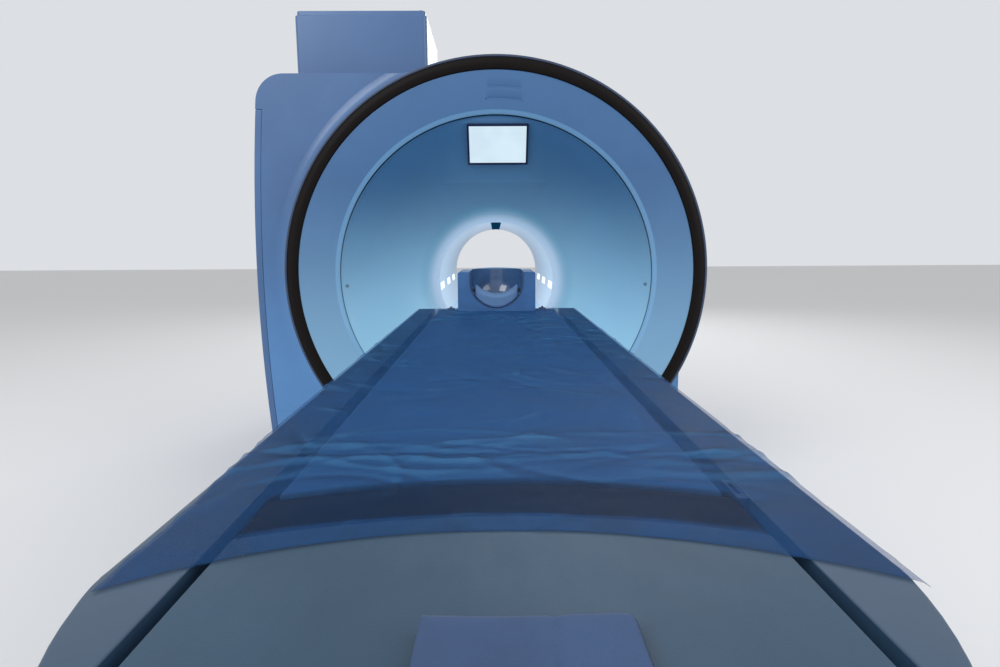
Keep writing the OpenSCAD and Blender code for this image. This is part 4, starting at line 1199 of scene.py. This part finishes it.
        # Painted shade: where the sheet spans the recess between the foot cap and the mattress's foot, within
        # the sliding board's width
        beyond = y - np.sqrt(p.foot_arc_r**2 - x**2) + p.foot_arc_r
        sides = np.stack([beyond - p.cap_front, p.mattress_foot - beyond, p.slide_half - np.abs(x)])
        hang = np.clip((np.abs(x) - (p.table_half - 0.006)) / 0.009, 0, 1)
        z = np.maximum(z, p.table_z + 0.0006) - 0.0045 * hang * hang
        faces = grid_faces(*x.shape)
        cut_out = np.abs(x.reshape(-1)[faces]).max(1) <= notch_x + 0.0005
        cut_out &= y.reshape(-1)[faces].min(1) >= notch_y - 0.0005
        used, faces = np.unique(faces[~cut_out], return_inverse=True)
        piece = mesh_from("drape_sheet_finished", np.stack([x, y, z], -1).reshape(-1, 3)[used],
                          faces.reshape(-1, 4))
        # The sheet's colour reads these as painted highlight (crease), painted light and shade (slope) and
        # painted shade over the recess (span)
        fields = {"crease": relief / 0.0040, "slope": slope, "span": np.clip(sides.min(0) / 0.005, 0, 1)}
        for name, values in fields.items():
            layer = piece.data.attributes.new(name, "FLOAT", "POINT")
            layer.data.foreach_set("value", values.reshape(-1)[used].astype(np.float32))
        walled(piece, 0.0004, 1.0)
        self.keep(piece, "drape_sheet", Look.SHEET)

    def cloth(self) -> None:
        """Cotton cloth folded over itself into five layers, with soft uneven turns.

        Its section runs to and fro across the width; each turn is a half circle between layers.
        """
        centre, half, front, back = 0.017, 0.0780, -3.728, -3.493
        pitch, base = 0.0036, PLAN.table_z + 0.0016
        insets = (0.0, 0.002, 0.0035, 0.001, 0.003)
        runs: list[Array] = []
        for k, inset in enumerate(insets):
            side, reach = (-1) ** k, half - 0.002 - inset
            across = np.linspace(-side * reach, side * reach, 48)
            runs.append(np.stack([across, np.full(48, k * pitch)], -1))
            turn = np.linspace(-np.pi / 2, np.pi / 2, 9)[1:-1]
            bend = [reach + pitch / 2 * np.cos(turn), pitch / 2 * (1 + np.sin(turn))]
            runs.append(np.stack([side * bend[0], k * pitch + bend[1]], -1))
        path = np.concatenate(runs[:-1])
        s, t = np.meshgrid(path[:, 0], np.linspace(0, 1, 72))
        level = np.broadcast_to(path[:, 1], s.shape)
        lift = level / (len(insets) * pitch)
        y = front + (back - front) * t + 0.0015 * np.sin(40 * s + 3 * lift * len(insets)) * (2 * t - 1)
        waves = 0.0007 * np.sin(30 * s + 8 * lift) * np.sin(24 * y) + 0.0006 * np.sin(61 * y + 9 * s)
        crease = -0.0032 * np.exp(-np.abs(s - 0.008 - 0.02 * (t - 0.5)) / 0.0030) * lift**2
        droop = -0.0030 * np.exp(-np.minimum(t, 1 - t) * (back - front) / 0.008) * lift
        z = base + level + (waves * lift + crease + droop)
        points = np.stack([centre + s + 0.002 * (t - 0.5), y, z], -1)
        piece = mesh_from("folded_cloth_finished", points, grid_faces(*s.shape))
        walled(piece, 0.0014, 0.0)
        self.keep(piece, "folded_cloth", Look.CLOTH)

    def build(self) -> None:
        """Builds the soft goods."""
        self.mattress()
        self.neck_pad()
        self.drape()
        self.cloth()


# Studio


@dataclass
class Studio:
    """Camera at the photograph's place, pale floor and soft neutral light."""

    place: tuple[float, float, float] = (-0.0048, -3.885, 1.2296)
    pitch: float = 8.334
    yaw: float = 0.408
    roll: float = -0.328
    lens: float = 21.6

    def camera(self) -> None:
        """Sets the camera from its heading, dip and roll, as a matrix of its right, up and back axes."""
        th, ps, ro = (math.radians(a) for a in (self.pitch, self.yaw, self.roll))
        ahead = Vector((math.sin(ps) * math.cos(th), math.cos(ps) * math.cos(th), -math.sin(th)))
        right = Vector((math.cos(ps), -math.sin(ps), 0.0))
        up = right.cross(ahead)
        across = math.cos(ro) * right + math.sin(ro) * up
        upward = -math.sin(ro) * right + math.cos(ro) * up
        data = bpy.data.cameras.new("camera")
        data.lens = self.lens
        data.sensor_width = 36.0
        data.clip_start = 0.02
        data.clip_end = 60.0
        made = placed("camera", data)
        axes = Matrix((across, upward, -ahead)).transposed().to_4x4()
        made.matrix_world = Matrix.Translation(self.place) @ axes
        bpy.context.scene.camera = made

    def floor(self) -> None:
        """Lays a large pale floor that fades into the backdrop."""
        size = 30.0
        corners = np.array([[-size, -size, 0], [size, -size, 0], [size, size, 0], [-size, size, 0]], float)
        ground = mesh_from("studio_floor", corners, [[0, 1, 2, 3]], smooth=0.0)
        shader = Shader("studio_floor")
        shader.set(Base_Color=(0.80, 0.81, 0.83), Roughness=0.80)
        ground.data.materials.append(shader.material)

    def world(self) -> None:
        """Gives the scene an even neutral sky, pale where the camera sees it."""
        world = bpy.data.worlds.new("studio")
        bpy.context.scene.world = world
        world.use_nodes = True
        nodes, links = world.node_tree.nodes, world.node_tree.links
        nodes.clear()
        path = nodes.new("ShaderNodeLightPath")
        seen = path.outputs["Is Camera Ray"]
        for kind in ("Is Glossy Ray", "Is Transmission Ray"):
            either = nodes.new("ShaderNodeMath")
            either.operation = "MAXIMUM"
            links.new(seen, either.inputs[0])
            links.new(path.outputs[kind], either.inputs[1])
            seen = either.outputs[0]
        light, shown = (nodes.new("ShaderNodeBackground") for _ in range(2))
        light.inputs[0].default_value = (1.0, 1.0, 1.0, 1.0)
        light.inputs[1].default_value = 0.60
        shown.inputs[0].default_value = (0.72, 0.74, 0.77, 1.0)
        shown.inputs[1].default_value = 1.0
        mix = nodes.new("ShaderNodeMixShader")
        links.new(seen, mix.inputs[0])
        links.new(light.outputs[0], mix.inputs[1])
        links.new(shown.outputs[0], mix.inputs[2])
        output = nodes.new("ShaderNodeOutputWorld")
        links.new(mix.outputs[0], output.inputs[0])

    def lamp(self, name: str, place: Vector, aim: Vector, size: float, power: float) -> None:
        """Adds a soft square lamp.

        Args:
            name: The lamp's name.
            place: Where it hangs.
            aim: The point that it faces.
            size: Its side.
            power: Its power in watts.
        """
        data = bpy.data.lights.new(name, "AREA")
        data.shape = "SQUARE"
        data.size = size
        data.energy = power
        made = placed(name, data)
        made.location = place
        made.rotation_euler = (aim - place).to_track_quat("-Z", "Y").to_euler()

    def lamps(self) -> None:
        """Hangs a key lamp, a fill lamp and a back lamp."""
        middle = Vector((0.0, -1.2, 1.0))
        self.lamp("key_lamp", Vector((-4.0, -6.0, 6.0)), middle, 4.0, 230.0)
        self.lamp("fill_lamp", Vector((5.0, -4.0, 4.0)), middle, 4.0, 95.0)
        self.lamp("back_lamp", Vector((1.0, 6.0, 5.0)), middle, 4.0, 160.0)

    def build(self) -> None:
        """Sets up the whole studio."""
        self.camera()
        self.floor()
        self.world()
        self.lamps()
        bpy.context.scene.view_settings.view_transform = "Standard"


def main() -> None:
    """Builds the studio and every sub-assembly."""
    logging.basicConfig(level=logging.INFO, format="%(name)s: %(message)s")
    Studio().build()
    for assembly in (Magnet, FrontRing, Tunnel, Covers, Table, HeadCoil, SoftGoods):
        assembly().build()


if __name__ == "__main__":
    main()
